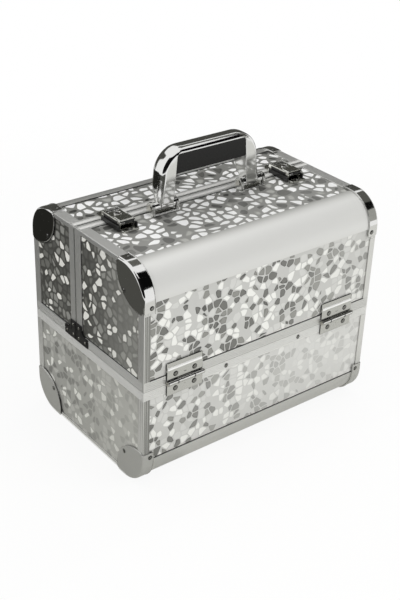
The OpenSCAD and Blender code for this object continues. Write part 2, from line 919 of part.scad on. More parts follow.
module tray_arm_brackets() {
  color("darkgray") {
    as_front() arm_bracket(front_arm_u);
    as_rear() arm_bracket(rear_arm_u);
  }
}

// Sub-parts of the front lid

module front_lid_front_panel() {
  color("gainsboro") as_front() lid_face_panel();
}

module front_lid_top_panel() {
  color("gainsboro") as_front() lid_top_panel(front_depth);
}

module front_lid_right_panel() {
  color("gainsboro") as_front() lid_end_panel(front_depth);
}

module front_lid_left_panel() {
  mirror([1, 0, 0]) front_lid_right_panel();
}

module front_lid_round_edge() {
  color("silver") as_front() lid_round_edge();
}

module front_lid_rim() {
  color("silver") as_front() lid_rim(front_depth);
}

module front_lid_end_frames() {
  color("silver") as_front() lid_end_frames(front_depth);
}

module front_lid_corner_caps() {
  color("lightgray") as_front() lid_corner() corner_cap();
}

module front_lid_fasteners() {
  color("lightgray") {
    as_front() {
      lid_rivets();
      hinge_pair() leaf_screws(leaf_screw_z);
    }
    latch_pair() translate([0, split_edge - latch_len + latch_screw_in, latch_z]) screw();
  }
}

module front_lid_lining() {
  color("black") as_front() lid_lining(front_depth);
}

module front_hinge_upper_leaves() {
  color("lightgray") as_front() hinge_pair() hinge_upper_leaf();
}

module front_lid_split_brackets() {
  color("black") as_front() lid_split_brackets(front_depth);
}

module front_tray_pivots() {
  color("darkgray") as_front() {
    tray_pivot(front_lower_u, front_lower_up);
    tray_pivot(front_upper_u, front_upper_up);
  }
}

module handle_brackets() {
  color("lightgray") handle_pair() handle_yoke();
}

module handle_pins() {
  color("gray") handle_pair() handle_pin();
}

module latch_bases() {
  color("lightgray") latch_pair() latch_base();
}

module latch_pins() {
  color("gray") latch_pair() latch_pin();
}

// Sub-parts of the rear lid

module rear_lid_rear_panel() {
  color("gainsboro") as_rear() lid_face_panel();
}

module rear_lid_top_panel() {
  color("gainsboro") as_rear() lid_top_panel(rear_depth);
}

module rear_lid_right_panel() {
  color("gainsboro") as_rear() lid_end_panel(rear_depth);
}

module rear_lid_left_panel() {
  mirror([1, 0, 0]) rear_lid_right_panel();
}

module rear_lid_round_edge() {
  color("silver") as_rear() lid_round_edge();
}

module rear_lid_rim() {
  color("silver") as_rear() lid_rim(rear_depth);
}

module rear_lid_end_frames() {
  color("silver") as_rear() lid_end_frames(rear_depth);
}

module rear_lid_corner_caps() {
  color("lightgray") as_rear() lid_corner() corner_cap();
}

module rear_lid_fasteners() {
  color("lightgray") as_rear() {
    lid_rivets();
    hinge_pair() leaf_screws(leaf_screw_z);
    for (side = [-1, 1]) translate([side * latch_x, rear_split_edge - keeper_screw_in, latch_z]) screw();
  }
}

module rear_lid_lining() {
  color("black") as_rear() lid_lining(rear_depth);
}

module rear_hinge_upper_leaves() {
  color("lightgray") as_rear() hinge_pair() hinge_upper_leaf();
}

module rear_lid_split_brackets() {
  color("black") as_rear() lid_split_brackets(rear_depth);
}

module rear_tray_pivots() {
  color("darkgray") as_rear() {
    tray_pivot(rear_lower_u, rear_lower_up);
    tray_pivot(rear_upper_u, rear_upper_up);
  }
}

module latch_keepers() {
  color("lightgray") as_rear() for (side = [-1, 1]) translate([side * latch_x, 0, 0]) latch_keeper();
}

// Handle, latches, trays and arms

module handle_arch() {
  foot_x = foot_w / 2;
  color("silver") at_handle() difference() {
    union() {
      intersection() {
        from_front() difference() {
          handle_front_view();
          handle_window(0);
        }
        slab(-far / 2, far / 2) handle_side_view();
      }
      for (side = [-1, 1]) translate([side * handle_foot_x, 0, 0]) bar_x(-foot_x, foot_x, 0, 0, foot_r);
    }
    bar_x(-far, far, 0, 0, handle_pin_r + run_fit);
  }
}

module handle_grip() {
  color("black") at_handle() intersection() {
    from_front() handle_window(fit);
    slab(-far / 2, far / 2) grip_section();
  }
}

module left_latch_lever() {
  as_front() translate([-latch_x, 0, 0]) latch_lever();
}

module right_latch_lever() {
  as_front() translate([latch_x, 0, 0]) latch_lever();
}

module left_lock_barrel() {
  as_front() translate([-latch_x, 0, 0]) lock_barrel();
}

module right_lock_barrel() {
  as_front() translate([latch_x, 0, 0]) lock_barrel();
}

module front_lower_tray() {
  color("dimgray") as_front()
    tray(front_lower_u, front_lower_up, front_lower_d, front_lower_h, front_arm_step, 1);
}

module front_upper_tray() {
  color("dimgray") as_front()
    tray(front_upper_u, front_upper_up, front_upper_d, front_upper_h, front_arm_step, 3);
}

module rear_lower_tray() {
  color("dimgray") as_rear()
    tray(rear_lower_u, rear_lower_up, rear_lower_d, rear_lower_h, rear_arm_step, 1);
}

module rear_upper_tray() {
  color("dimgray") as_rear()
    tray(rear_upper_u, rear_upper_up, rear_upper_d, rear_upper_h, rear_arm_step, 3);
}

module front_tray_arms() {
  color("darkgray") as_front()
    tray_arms(front_arm_u, front_lower_in, front_lower_up, front_upper_in, front_upper_up);
}

module rear_tray_arms() {
  color("darkgray") as_rear()
    tray_arms(rear_arm_u, rear_lower_in, rear_lower_up, rear_upper_in, rear_upper_up);
}

base_front_panel();
base_rear_panel();
base_left_panel();
base_right_panel();
base_bottom_panel();
base_front_edge();
base_rear_edge();
base_rim();
base_end_frames();
base_corner_caps();
base_fasteners();
base_lining();
hinge_lower_leaves();
hinge_pins();
tray_arm_brackets();
front_lid_front_panel();
front_lid_top_panel();
front_lid_left_panel();
front_lid_right_panel();
front_lid_round_edge();
front_lid_rim();
front_lid_end_frames();
front_lid_corner_caps();
front_lid_fasteners();
front_lid_lining();
front_hinge_upper_leaves();
front_lid_split_brackets();
front_tray_pivots();
handle_brackets();
handle_pins();
latch_bases();
latch_pins();
rear_lid_rear_panel();
rear_lid_top_panel();
rear_lid_left_panel();
rear_lid_right_panel();
rear_lid_round_edge();
rear_lid_rim();
rear_lid_end_frames();
rear_lid_corner_caps();
rear_lid_fasteners();
rear_lid_lining();
rear_hinge_upper_leaves();
rear_lid_split_brackets();
rear_tray_pivots();
latch_keepers();
handle_arch();
handle_grip();
left_latch_lever();
right_latch_lever();
left_lock_barrel();
right_lock_barrel();
front_lower_tray();
front_upper_tray();
rear_lower_tray();
rear_upper_tray();
front_tray_arms();
rear_tray_arms();
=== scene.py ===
# %% [markdown]
# # A makeup train case in silver foil and chrome
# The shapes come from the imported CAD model, in metres, and this lesson gives them their looks. Every
# CAD node stays where it is. We give it a finish, or we hide it behind a finer piece that stands in
# the same place and rides on the same body, so that the lids, trays, latches and handle still move.

# %% Load the frame
import json
import math

import bmesh
import bpy
from mathutils import Matrix, Vector


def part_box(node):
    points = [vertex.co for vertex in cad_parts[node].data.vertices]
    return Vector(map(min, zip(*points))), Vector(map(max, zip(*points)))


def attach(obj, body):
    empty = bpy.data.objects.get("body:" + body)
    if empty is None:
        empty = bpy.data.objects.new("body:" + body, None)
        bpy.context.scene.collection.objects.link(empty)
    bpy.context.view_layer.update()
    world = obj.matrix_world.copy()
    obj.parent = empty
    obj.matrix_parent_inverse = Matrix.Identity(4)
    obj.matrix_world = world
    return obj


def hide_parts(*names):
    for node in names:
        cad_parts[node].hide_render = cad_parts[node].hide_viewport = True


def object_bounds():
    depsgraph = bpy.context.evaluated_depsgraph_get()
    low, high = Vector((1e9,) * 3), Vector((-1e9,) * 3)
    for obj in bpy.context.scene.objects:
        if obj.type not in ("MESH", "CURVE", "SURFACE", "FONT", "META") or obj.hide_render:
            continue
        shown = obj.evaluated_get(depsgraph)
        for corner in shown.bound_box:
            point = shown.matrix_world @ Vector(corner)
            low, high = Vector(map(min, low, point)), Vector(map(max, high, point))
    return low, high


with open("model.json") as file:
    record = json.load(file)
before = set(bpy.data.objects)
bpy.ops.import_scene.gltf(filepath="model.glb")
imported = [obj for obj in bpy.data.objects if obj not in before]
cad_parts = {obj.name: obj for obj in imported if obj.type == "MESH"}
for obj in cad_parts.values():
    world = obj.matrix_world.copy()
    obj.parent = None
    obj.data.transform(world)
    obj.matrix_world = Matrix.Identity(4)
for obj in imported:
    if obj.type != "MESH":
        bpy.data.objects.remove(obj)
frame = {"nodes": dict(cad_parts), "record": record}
nodes = frame["nodes"]
body_of = {name: body for body, names in frame["record"]["behaviour"]["bodies"].items() for name in names}
cad_low, cad_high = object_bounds()
MM = 0.001
print("nodes:", len(nodes), "size in mm:", [round(side / MM, 1) for side in cad_high - cad_low])

# %% [markdown]
# ## Camera
# A photo's viewing angle is three numbers for where the camera stands and three for how it is turned.
# They were fitted to the long edges of the case. The lens follows from the focal length in pixels,
# because Blender lays the sensor's width along the picture's longer side, which is 600 pixels here.

# %% Camera
scene = bpy.context.scene
scene.view_settings.view_transform = "Standard"
CAMERA_PLACE = Vector((-0.73725, -0.91223, 0.80615))
AZIMUTH = math.radians(-38.6936)
ELEVATION = math.radians(29.5432)
ROLL = math.radians(2.1629)
FOCAL_PIXELS = 1097.28
LONG_SIDE_PIXELS = 600
SENSOR_MM = 36


def heading(turn, lift):
    """Unit vector from the case to a place round it: turn 0 is the front, lift is above the floor."""
    return Vector((math.sin(turn) * math.cos(lift), -math.cos(turn) * math.cos(lift), math.sin(lift)))


back = heading(AZIMUTH, ELEVATION)
level_right = (-back).cross(Vector((0, 0, 1))).normalized()
level_up = level_right.cross(-back)
right = math.cos(ROLL) * level_right + math.sin(ROLL) * level_up
up = -math.sin(ROLL) * level_right + math.cos(ROLL) * level_up
camera = bpy.data.objects.new("camera", bpy.data.cameras.new("camera"))
scene.collection.objects.link(camera)
camera.data.sensor_width = SENSOR_MM
camera.data.lens = FOCAL_PIXELS * SENSOR_MM / LONG_SIDE_PIXELS
camera.matrix_world = Matrix.Translation(CAMERA_PLACE) @ Matrix((right, up, back)).transposed().to_4x4()
scene.camera = camera
print("lens in mm:", round(camera.data.lens, 2))

# %% [markdown]
# ## Colours and nodes
# We write colours as sRGB hex, the way a picture shows them, and one function turns them to the linear
# values that sockets take. A second small function adds any node, with its settings and its links, so
# that each finish below reads as a list of what it is made of. Meshes come out of bmesh by one function.

# %% Helpers for finishes
def linear(hex_code):
    """The linear RGBA of an sRGB hex colour."""
    channels = [int(hex_code[i:i + 2], 16) / 255 for i in (1, 3, 5)]
    return (*[c / 12.92 if c <= 0.04045 else ((c + 0.055) / 1.055) ** 2.4 for c in channels], 1.0)


def add(tree, kind, settings=None, inputs=None):
    """Add a node, set its properties, then fill its inputs with values or link them to sockets."""
    node = tree.nodes.new(kind)
    for name, value in (settings or {}).items():
        setattr(node, name, value)
    for key, value in (inputs or {}).items():
        for source in value if isinstance(value, list) else [value]:
            if isinstance(source, bpy.types.NodeSocket):
                tree.links.new(source, node.inputs[key])
            else:
                node.inputs[key].default_value = source
    return node


def new_finish(name, colour, metallic, roughness):
    """A material with a Principled shader whose plain values are set on its own sockets."""
    material = bpy.data.materials.new(name)
    material.use_nodes = True
    shader = material.node_tree.nodes["Principled BSDF"]
    shader.inputs["Base Color"].default_value = linear(colour)
    shader.inputs["Metallic"].default_value = metallic
    shader.inputs["Roughness"].default_value = roughness
    return material, material.node_tree, shader


def to_mesh(shape, name):
    """Turn a bmesh into a named mesh and free it."""
    mesh = bpy.data.meshes.new(name)
    shape.to_mesh(mesh)
    shape.free()
    return mesh


print("mid grey in linear light:", round(linear("#808080")[0], 3))

# %% [markdown]
# ## Floor and world
# The case stands on white. The world is white to the camera and to reflections, and a little weaker as
# light, so that colours come out as they are written. The floor is a white paper disc that fades into
# that white at its rim, and it keeps a soft shadow under the case.

# %% Floor and world
WORLD_LIGHT = 0.8
FLOOR_SELF = 0.9
FLOOR_CLEAR = 0.55
FLOOR_END = 1.1
FLOOR_SIDES = 96


def seen_directly(tree):
    """1 for camera, glossy and transmission rays, and 0 for the rays that carry light."""
    path = add(tree, "ShaderNodeLightPath")
    seen = path.outputs["Is Camera Ray"]
    for kind in ("Is Glossy Ray", "Is Transmission Ray"):
        either = add(tree, "ShaderNodeMath", {"operation": "MAXIMUM"}, {0: seen, 1: path.outputs[kind]})
        seen = either.outputs[0]
    return seen


world = bpy.data.worlds.new("white studio")
scene.world = world
world.use_nodes = True
sky = world.node_tree
sky.nodes.clear()
level = add(sky, "ShaderNodeMapRange", None,
            {"Value": seen_directly(sky), "To Min": WORLD_LIGHT, "To Max": 1.0})
glow = add(sky, "ShaderNodeBackground", None,
           {"Color": linear("#ffffff"), "Strength": level.outputs["Result"]})
add(sky, "ShaderNodeOutputWorld", None, {"Surface": glow.outputs["Background"]})

disc = bmesh.new()
bmesh.ops.create_circle(disc, cap_ends=True, segments=FLOOR_SIDES, radius=FLOOR_END)
floor_mesh = to_mesh(disc, "floor")
floor = bpy.data.objects.new("floor", floor_mesh)
scene.collection.objects.link(floor)
paper, tree, shader = new_finish("white paper", "#e4e4e1", 0.0, 0.8)
white = add(tree, "ShaderNodeEmission", None, {"Color": linear("#ffffff"), "Strength": 1.0})
share = add(tree, "ShaderNodeMath", {"operation": "MULTIPLY"}, {0: seen_directly(tree), 1: FLOOR_SELF})
lifted = add(tree, "ShaderNodeMixShader", None,
             {0: share.outputs[0], 1: shader.outputs["BSDF"], 2: white.outputs["Emission"]})
place = add(tree, "ShaderNodeTexCoord")
reach = add(tree, "ShaderNodeVectorMath", {"operation": "LENGTH"}, {0: place.outputs["Object"]})
fade = add(tree, "ShaderNodeMapRange", {"interpolation_type": "SMOOTHSTEP"},
           {"Value": reach.outputs["Value"], "From Min": FLOOR_CLEAR, "From Max": FLOOR_END})
clear = add(tree, "ShaderNodeBsdfTransparent")
paper_mix = add(tree, "ShaderNodeMixShader", None,
                {0: fade.outputs["Result"], 1: lifted.outputs["Shader"], 2: clear.outputs["BSDF"]})
tree.links.new(paper_mix.outputs["Shader"], tree.nodes["Material Output"].inputs["Surface"])
floor_mesh.materials.append(paper)
print("floor radius in m:", FLOOR_END)

# %% [markdown]
# ## Lamps and cards
# Three soft lamps light the front, the top and the left. Chrome only shows what stands round it, so
# grey and black cards stand outside the picture, as a photographer would place them. Only reflections
# see them. A standing card is given by its turn round the case and its lifts above the floor at both
# ends, and a floor card by its corners.

# %% Lamps and cards
CENTRE = Vector((0, 0, 0.14))
CARD_REACH = 2.2
NEAR_REACH = 2.1
CARD_STRIPS = 8


def lamp(name, place, size, power):
    """A square soft lamp that looks at the middle of the case."""
    data = bpy.data.lights.new(name, "AREA")
    data.size = size
    data.energy = power
    made = bpy.data.objects.new(name, data)
    scene.collection.objects.link(made)
    made.location = place
    made.rotation_euler = (CENTRE - Vector(place)).to_track_quat("-Z", "Y").to_euler()
    made.visible_glossy = False


def card(name, colour, corners, faces):
    """A card that only reflections see."""
    mesh = bpy.data.meshes.new(name)
    mesh.from_pydata(corners, [], faces)
    made = bpy.data.objects.new(name, mesh)
    scene.collection.objects.link(made)
    material = bpy.data.materials.new(name)
    material.use_nodes = True
    tree = material.node_tree
    tree.nodes.clear()
    glow = add(tree, "ShaderNodeEmission", None, {"Color": linear(colour), "Strength": 1.0})
    add(tree, "ShaderNodeOutputMaterial", None, {"Surface": glow.outputs["Emission"]})
    mesh.materials.append(material)
    for ray in ("camera", "diffuse", "shadow", "transmission", "volume_scatter"):
        setattr(made, "visible_" + ray, False)


def standing_card(name, colour, start, end, reach=CARD_REACH):
    """A card bent round the case. Start and end are its turn, lowest and highest lift in degrees."""
    corners = []
    for i in range(CARD_STRIPS + 1):
        share = i / CARD_STRIPS
        turn, low, high = (math.radians(a + (b - a) * share) for a, b in zip(start, end))
        for lift in (low, high):
            corners.append(CENTRE + reach * heading(turn, lift))
    card(name, colour, corners, [(2 * i, 2 * i + 2, 2 * i + 3, 2 * i + 1) for i in range(CARD_STRIPS)])


def floor_card(name, colour, lift, x_from, x_to, y_from, y_to):
    """A card that lies on the floor, lifted by a few mm so that cards don't share a plane."""
    z = lift * MM
    card(name, colour, [(x_from, y_from, z), (x_to, y_from, z), (x_to, y_to, z), (x_from, y_to, z)],
         [(0, 1, 2, 3)])


print("standing cards have strips:", CARD_STRIPS)

# %% [markdown]
# ## Where the lamps and cards stand
# The black cards draw the dark bands on the caps and the handle, the grey ones tone their tops and sides,
# and the cards on the floor stand for a dark table to the left and white paper in front.

# %% Where the lamps and cards stand
lamp("key lamp", (1.0, -1.8, 1.7), 1.6, 20)
lamp("top lamp", (0.2, 0.3, 2.4), 1.8, 15)
lamp("left lamp", (-2.2, -0.4, 0.8), 1.2, 8)
standing_card("back card", "#4c4c48", (114, -2, 37), (216, -2, 42))
standing_card("high back card", "#666661", (112, 45, 66), (150, 45, 60))
standing_card("handle card", "#0c0c0c", (64, 50, 55), (110, 48, 56))
standing_card("front card", "#0c0c0c", (20, 14, 56), (64, 52, 72))
standing_card("low front card", "#0c0c0c", (33, 13, 40), (66, 6, 56))
standing_card("right card", "#5c5c58", (66, 18, 50), (112, 18, 50))
standing_card("low right card", "#a4a49f", (41, 0, 22), (63, 0, 43), NEAR_REACH)
standing_card("camera side card", "#121212", (-88, 0, 58), (20, 0, 58))
floor_card("left floor card", "#4f4f4b", 1, -1.6, -0.27, -1.4, 0.42)
floor_card("left rear floor card", "#262623", 1, -1.6, -0.27, 0.42, 1.6)
floor_card("near left card", "#a4a49f", 4, -0.27, -0.1, -0.3, 0.3)
floor_card("front floor card", "#e2e2de", 2, -0.35, 0.9, -0.7, -0.172)
floor_card("near front card", "#b6b6b1", 3, -0.25, 0.4, -0.172, -0.08)
floor_card("rear floor card", "#6f6f6a", 1, -0.27, 2.4, 0.15, 2.4)

# %% [markdown]
# ## Silver mosaic foil
# The boards are covered with a printed foil under a clear film: pebbles 9 to 12 mm across in dark, middle
# and bright silver, on a silver ground. A Voronoi texture divides a plane into such cells. Its random
# colour picks the tone of a cell, and some cells stay as ground. The distance to the second nearest point
# less the distance to the nearest is zero on the cells' borders and rounds their corners, so a step on it
# leaves a rounded pebble in each cell, with a thin rim in a second tone. The front, the ends and the top
# each have their own tones, which paint the reflections and shade that each face shows, and a painted
# reflection of the floor makes the foil paler to one side.

# %% Silver mosaic foil
CELL = 8.8 * MM
TOP_CELL = 12.4 * MM
END_CELL = 9.6 * MM
JOINT = 1.1 * MM / CELL
TOP_JOINT = 1.9 * JOINT
END_JOINT = 1.35 * JOINT
FRONT_PLANE = Matrix(((1, 0, 0), (0, 0, 1), (0, -1, 0))).to_euler()
END_PLANE = Matrix(((0, 1, 0), (0, 0, 1), (1, 0, 0))).to_euler()
TOP_PLANE = Matrix.Identity(3).to_euler()
DRIFT_CELLS = 2
SWAY = 0.6
RANDOMNESS = 0.9
EDGE_SOFT = 0.5
RIM_FROM = 1.0
RIM_TO = 1.8
FOIL_METALLIC = 0.3
DOME_STRENGTH = 0.3
DOME_HEIGHT = 0.12 * MM
FOIL_GLOSS = (0.28, 0.46)
FILM_COAT = 0.2
FILM_GLOSS = 0.15
SMOOTH = {"interpolation_type": "SMOOTHSTEP"}
COLOURS = {"data_type": "RGBA"}


def mosaic_foil(name, plane, tones, rims, ground, painted_reflection, cell=CELL, joint=JOINT):
    """Foil of pebbles on one plane. painted_reflection: (axis, from, to, share, hex colour) that pales it."""
    material, tree, shader = new_finish(name, ground, FOIL_METALLIC, sum(FOIL_GLOSS) / 2)
    place = add(tree, "ShaderNodeTexCoord")
    flat = add(tree, "ShaderNodeMapping", None, {"Vector": place.outputs["Object"], "Rotation": plane})
    drift = add(tree, "ShaderNodeTexNoise", {"noise_dimensions": "2D"},
                {"Vector": flat.outputs["Vector"], "Scale": 1 / (DRIFT_CELLS * cell), "Detail": 1.0})
    sway = add(tree, "ShaderNodeVectorMath", {"operation": "MULTIPLY_ADD"},
               {0: drift.outputs["Color"], 1: (SWAY * cell, SWAY * cell, 0), 2: flat.outputs["Vector"]})
    pattern = {"Vector": sway.outputs["Vector"], "Scale": 1 / cell, "Randomness": RANDOMNESS}
    near = add(tree, "ShaderNodeTexVoronoi", {"voronoi_dimensions": "2D", "feature": "F1"}, pattern)
    next_near = add(tree, "ShaderNodeTexVoronoi", {"voronoi_dimensions": "2D", "feature": "F2"}, pattern)
    gap = add(tree, "ShaderNodeMath", {"operation": "SUBTRACT"},
              {0: next_near.outputs["Distance"], 1: near.outputs["Distance"]})
    pebble = add(tree, "ShaderNodeMapRange", SMOOTH,
                 {"Value": gap.outputs[0], "From Min": joint, "From Max": joint + EDGE_SOFT * JOINT})
    inside = add(tree, "ShaderNodeMapRange", SMOOTH,
                 {"Value": gap.outputs[0], "From Min": joint + RIM_FROM * JOINT,
                  "From Max": joint + RIM_TO * JOINT})
    pick = add(tree, "ShaderNodeSeparateColor", None, {"Color": near.outputs["Color"]})
    layers = []
    for steps in (rims, tones):
        ramp = add(tree, "ShaderNodeValToRGB", None, {"Fac": pick.outputs["Red"]})
        ramp.color_ramp.interpolation = "CONSTANT"
        points = ramp.color_ramp.elements
        points.remove(points[1])
        points[0].color = linear(steps[0][1])
        for start, colour in steps[1:]:
            points.new(start).color = linear(colour)
        layers.append(ramp.outputs["Color"])
    body = add(tree, "ShaderNodeMix", COLOURS, {0: inside.outputs["Result"], 6: layers[0], 7: layers[1]})
    printed = add(tree, "ShaderNodeMix", COLOURS,
                  {0: pebble.outputs["Result"], 6: linear(ground), 7: body.outputs[2]})
    # A painted reflection of the floor mixes the print towards a pale colour along one axis.
    axis, start, end, share, reflection_tone = painted_reflection
    sides = add(tree, "ShaderNodeSeparateXYZ", None, {"Vector": place.outputs["Object"]})
    reflection_share = add(tree, "ShaderNodeMapRange", SMOOTH,
               {"Value": sides.outputs[axis], "From Min": start, "From Max": end, "To Max": share})
    reflected = add(tree, "ShaderNodeMix", COLOURS,
                 {0: reflection_share.outputs["Result"], 6: printed.outputs[2], 7: linear(reflection_tone)})
    tree.links.new(reflected.outputs[2], shader.inputs["Base Color"])
    gloss = add(tree, "ShaderNodeMapRange", None,
                {"Value": pick.outputs["Green"], "To Min": FOIL_GLOSS[0], "To Max": FOIL_GLOSS[1]})
    tree.links.new(gloss.outputs["Result"], shader.inputs["Roughness"])
    dome = add(tree, "ShaderNodeBump", None,
               {"Strength": DOME_STRENGTH, "Distance": DOME_HEIGHT, "Height": pebble.outputs["Result"]})
    tree.links.new(dome.outputs["Normal"], shader.inputs["Normal"])
    shader.inputs["Coat Weight"].default_value = FILM_COAT
    shader.inputs["Coat Roughness"].default_value = FILM_GLOSS
    return material


print("foil cells in mm:", [round(side / MM, 1) for side in (CELL, END_CELL, TOP_CELL)])

# %% [markdown]
# ## Tones of the foil
# Each list gives the share of the random colour from which a tone starts. The painted reflection that makes
# the foil paler is given by its axis, where along it the reflection starts and is full, in metres, its
# share and its colour.

# %% Tones of the foil
FRONT_GROUND = "#c8c8c5"
FRONT_PALE = "#d5d5d2"
FRONT_TONES = [(0, "#757571"), (0.24, "#92928d"), (0.38, FRONT_GROUND), (0.58, FRONT_PALE),
               (0.74, "#f2f2ee")]
FRONT_RIMS = [(0, "#585855"), (0.24, "#7d7d78"), (0.38, FRONT_GROUND), (0.58, FRONT_PALE),
              (0.74, "#eeeeea")]
END_GROUND = "#50504c"
END_TONES = [(0, "#62625e"), (0.28, "#7a7a75"), (0.5, "#9c9c97"), (0.76, "#fffef8")]
END_RIMS = [(0, "#585854"), (0.28, "#686863"), (0.5, "#84847f"), (0.76, "#f6f5ee")]
BASE_END_GROUND = "#a4a49f"
BASE_END_TONES = [(0, "#7b7b77"), (0.3, BASE_END_GROUND), (0.6, "#bcbcb7"), (0.85, "#f0f0ea")]
TOP_GROUND = "#848480"
TOP_TONES = [(0, "#4a4a47"), (0.12, "#646460"), (0.2, "#b4b4af"), (0.31, "#ffffff")]
TOP_RIMS = [(0, "#3c3c39"), (0.12, "#525250"), (0.2, "#9c9c97"), (0.31, "#fcfcfa")]
# Tones differ by face as painted reflection and shade; the last tuple is a paler painted reflection.
foil_front = mosaic_foil("silver mosaic foil on the lid fronts", FRONT_PLANE, FRONT_TONES, FRONT_RIMS,
                         FRONT_GROUND, ("X", 0.0, 0.2, 0.45, "#c3c3bf"))
foil_base = mosaic_foil("silver mosaic foil on the base fronts", FRONT_PLANE, FRONT_TONES, FRONT_RIMS,
                        FRONT_GROUND, ("X", -0.2, 0.12, 0.72, "#dadad7"))
foil_end = mosaic_foil("silver mosaic foil on the lid ends", END_PLANE, END_TONES, END_RIMS, END_GROUND,
                       ("Y", 0.01, -0.1, 0.32, "#c4c4be"), END_CELL, END_JOINT)
foil_base_end = mosaic_foil("silver mosaic foil on the base ends", END_PLANE, BASE_END_TONES, BASE_END_TONES,
                            BASE_END_GROUND, ("Y", 0.12, -0.14, 0.65, "#c4c4be"))
foil_top = mosaic_foil("silver mosaic foil on the tops", TOP_PLANE, TOP_TONES, TOP_RIMS, TOP_GROUND,
                       ("Y", 0.01, -0.07, 0.15, "#e8e8e4"), TOP_CELL, TOP_JOINT)
print("foils:", [foil.name for foil in (foil_front, foil_base, foil_end, foil_base_end, foil_top)])

# %% [markdown]
# ## Metals, plastic and lining
# The rounded edges are blasted and anodised aluminium, pale and almost without reflections, and the front
# lid's is painted darker towards its top as shade. The frames and rims are drawn or brushed and anodised, a
# soft mirror with a fine grain along the extrusion, and the posts on the left have a rougher face that is
# painted darker as shade. Chrome is almost a clean mirror, and a plain one is too clean to be real, so every
# finish has fine noise in its roughness and a shallow bump. A real grain is finer than a pixel of the
# picture, so it is drawn about 1 mm wide, or wider, where it has to show.

# %% Metals, plastic and lining
ALONG_X = (120, 1.1, 1.1)
ALONG_Z = (1.1, 1.1, 120)
SATIN = (6, 6, 6)
MIRROR = (25, 25, 25)
BUMP = 0.2


def grained(name, colour, metallic, spacing, gloss, depth):
    """A finish with fine noise, its spacing in mm on each axis, in its roughness and in a shallow bump."""
    material, tree, shader = new_finish(name, colour, metallic, sum(gloss) / 2)
    place = add(tree, "ShaderNodeTexCoord")
    pulled = add(tree, "ShaderNodeMapping", None,
                 {"Vector": place.outputs["Object"], "Scale": tuple(1 / (side * MM) for side in spacing)})
    noise = add(tree, "ShaderNodeTexNoise", None,
                {"Vector": pulled.outputs["Vector"], "Scale": 1.0, "Detail": 3.0})
    rough = add(tree, "ShaderNodeMapRange", None,
                {"Value": noise.outputs["Fac"], "To Min": gloss[0], "To Max": gloss[1]})
    tree.links.new(rough.outputs["Result"], shader.inputs["Roughness"])
    bump = add(tree, "ShaderNodeBump", None,
               {"Strength": BUMP, "Distance": depth * MM, "Height": noise.outputs["Fac"]})
    tree.links.new(bump.outputs["Normal"], shader.inputs["Normal"])
    return material


def paint_shade_along(material, axis, start, end, near, far):
    """Paint shade: a finish goes from one colour to another with the distance in mm from the case's middle.
    """
    tree = material.node_tree
    place = add(tree, "ShaderNodeTexCoord")
    sides = add(tree, "ShaderNodeSeparateXYZ", None, {"Vector": place.outputs["Object"]})
    away = add(tree, "ShaderNodeMath", {"operation": "ABSOLUTE"}, {0: sides.outputs[axis]})
    share = add(tree, "ShaderNodeMapRange", SMOOTH,
                {"Value": away.outputs[0], "From Min": start * MM, "From Max": end * MM})
    shade_mix = add(tree, "ShaderNodeMix", COLOURS, {0: share.outputs["Result"], 6: linear(near), 7: linear(far)})
    tree.links.new(shade_mix.outputs[2], tree.nodes["Principled BSDF"].inputs["Base Color"])


print("grain along a rim in mm:", ALONG_X)

# %% [markdown]
# ## List of finishes
# The hinges are satin chrome with a rolled moulding whose brightness is a painted highlight, and the
# latches are a darker, smoked chrome. The base's caps are satin nickel with painted shade on their end
# plates, the screws and rivets black nickel, the pins nickel, and the arms inside are zinc-plated. The
# brackets at the split are stove enamelled. The grip and the trays are moulded ABS, the lining is a short
# black velour with a soft sheen, and black strips paint the shadows in gaps, slots and recesses.

# %% List of finishes
blasted_aluminium = grained("blasted anodised aluminium", "#d4d4d1", 0.3, ALONG_X, (0.4, 0.5), 0.03)
painted_shade_edge_aluminium = grained("blasted anodised edge with painted shade", "#dadad7", 0.3, ALONG_X, (0.4, 0.5), 0.03)
# The top of the front lid's rounded edge, which faces up, is painted darker as shade.
paint_shade_along(painted_shade_edge_aluminium, "Y", 72, 92, "#a4a4a0", "#d7d7d4")
satin_aluminium = grained("drawn anodised aluminium", "#e0e0dd", 0.8, ALONG_X, (0.28, 0.4), 0.03)
rim_aluminium = grained("brushed anodised aluminium", "#e6e6e3", 0.6, ALONG_X, (0.34, 0.46), 0.03)
# The faces of the posts on the left are painted darker as shade.
shaded_left_aluminium = grained("rough anodised aluminium with painted shade", "#949490", 0.6, ALONG_Z, (0.45, 0.55), 0.03)
shaded_satin_nickel = grained("satin nickel plate with painted shade", "#c0c0bc", 0.6, SATIN, (0.25, 0.36), 0.02)
# The end plates of the base's caps are painted darker as shade.
paint_shade_along(shaded_satin_nickel, "X", 170, 172.3, "#c8c8c4", "#b2b2ae")
# Near white and little metallic, this paints a highlight on the hinge mouldings and knuckles.
highlight_chrome = grained("rolled chrome with painted highlight", "#f6f6f4", 0.35, MIRROR, (0.2, 0.3), 0.02)
chrome = grained("chrome plate", "#e4e4e2", 1.0, MIRROR, (0.05, 0.11), 0.02)
satin_chrome = grained("satin chrome plate", "#cbcbc7", 1.0, SATIN, (0.16, 0.26), 0.02)
smoked_chrome = grained("smoked chrome plate", "#dcdcd6", 1.0, MIRROR, (0.07, 0.15), 0.02)
dark_nickel = grained("black nickel plate", "#83837f", 1.0, MIRROR, (0.08, 0.16), 0.02)
nickel = grained("nickel plated steel", "#c6c4bd", 1.0, (3, 3, 3), (0.15, 0.28), 0.02)
zinc = grained("zinc plated steel", "#b9bbba", 1.0, (11, 11, 1.1), (0.3, 0.46), 0.03)
enamel = grained("black stove enamel", "#191918", 0.0, (2, 2, 2), (0.26, 0.4), 0.04)
grip_plastic = grained("black glossy ABS", "#131312", 0.0, (5, 5, 5), (0.16, 0.26), 0.03)
grip_plastic.node_tree.nodes["Principled BSDF"].inputs["Specular IOR Level"].default_value = 0.25
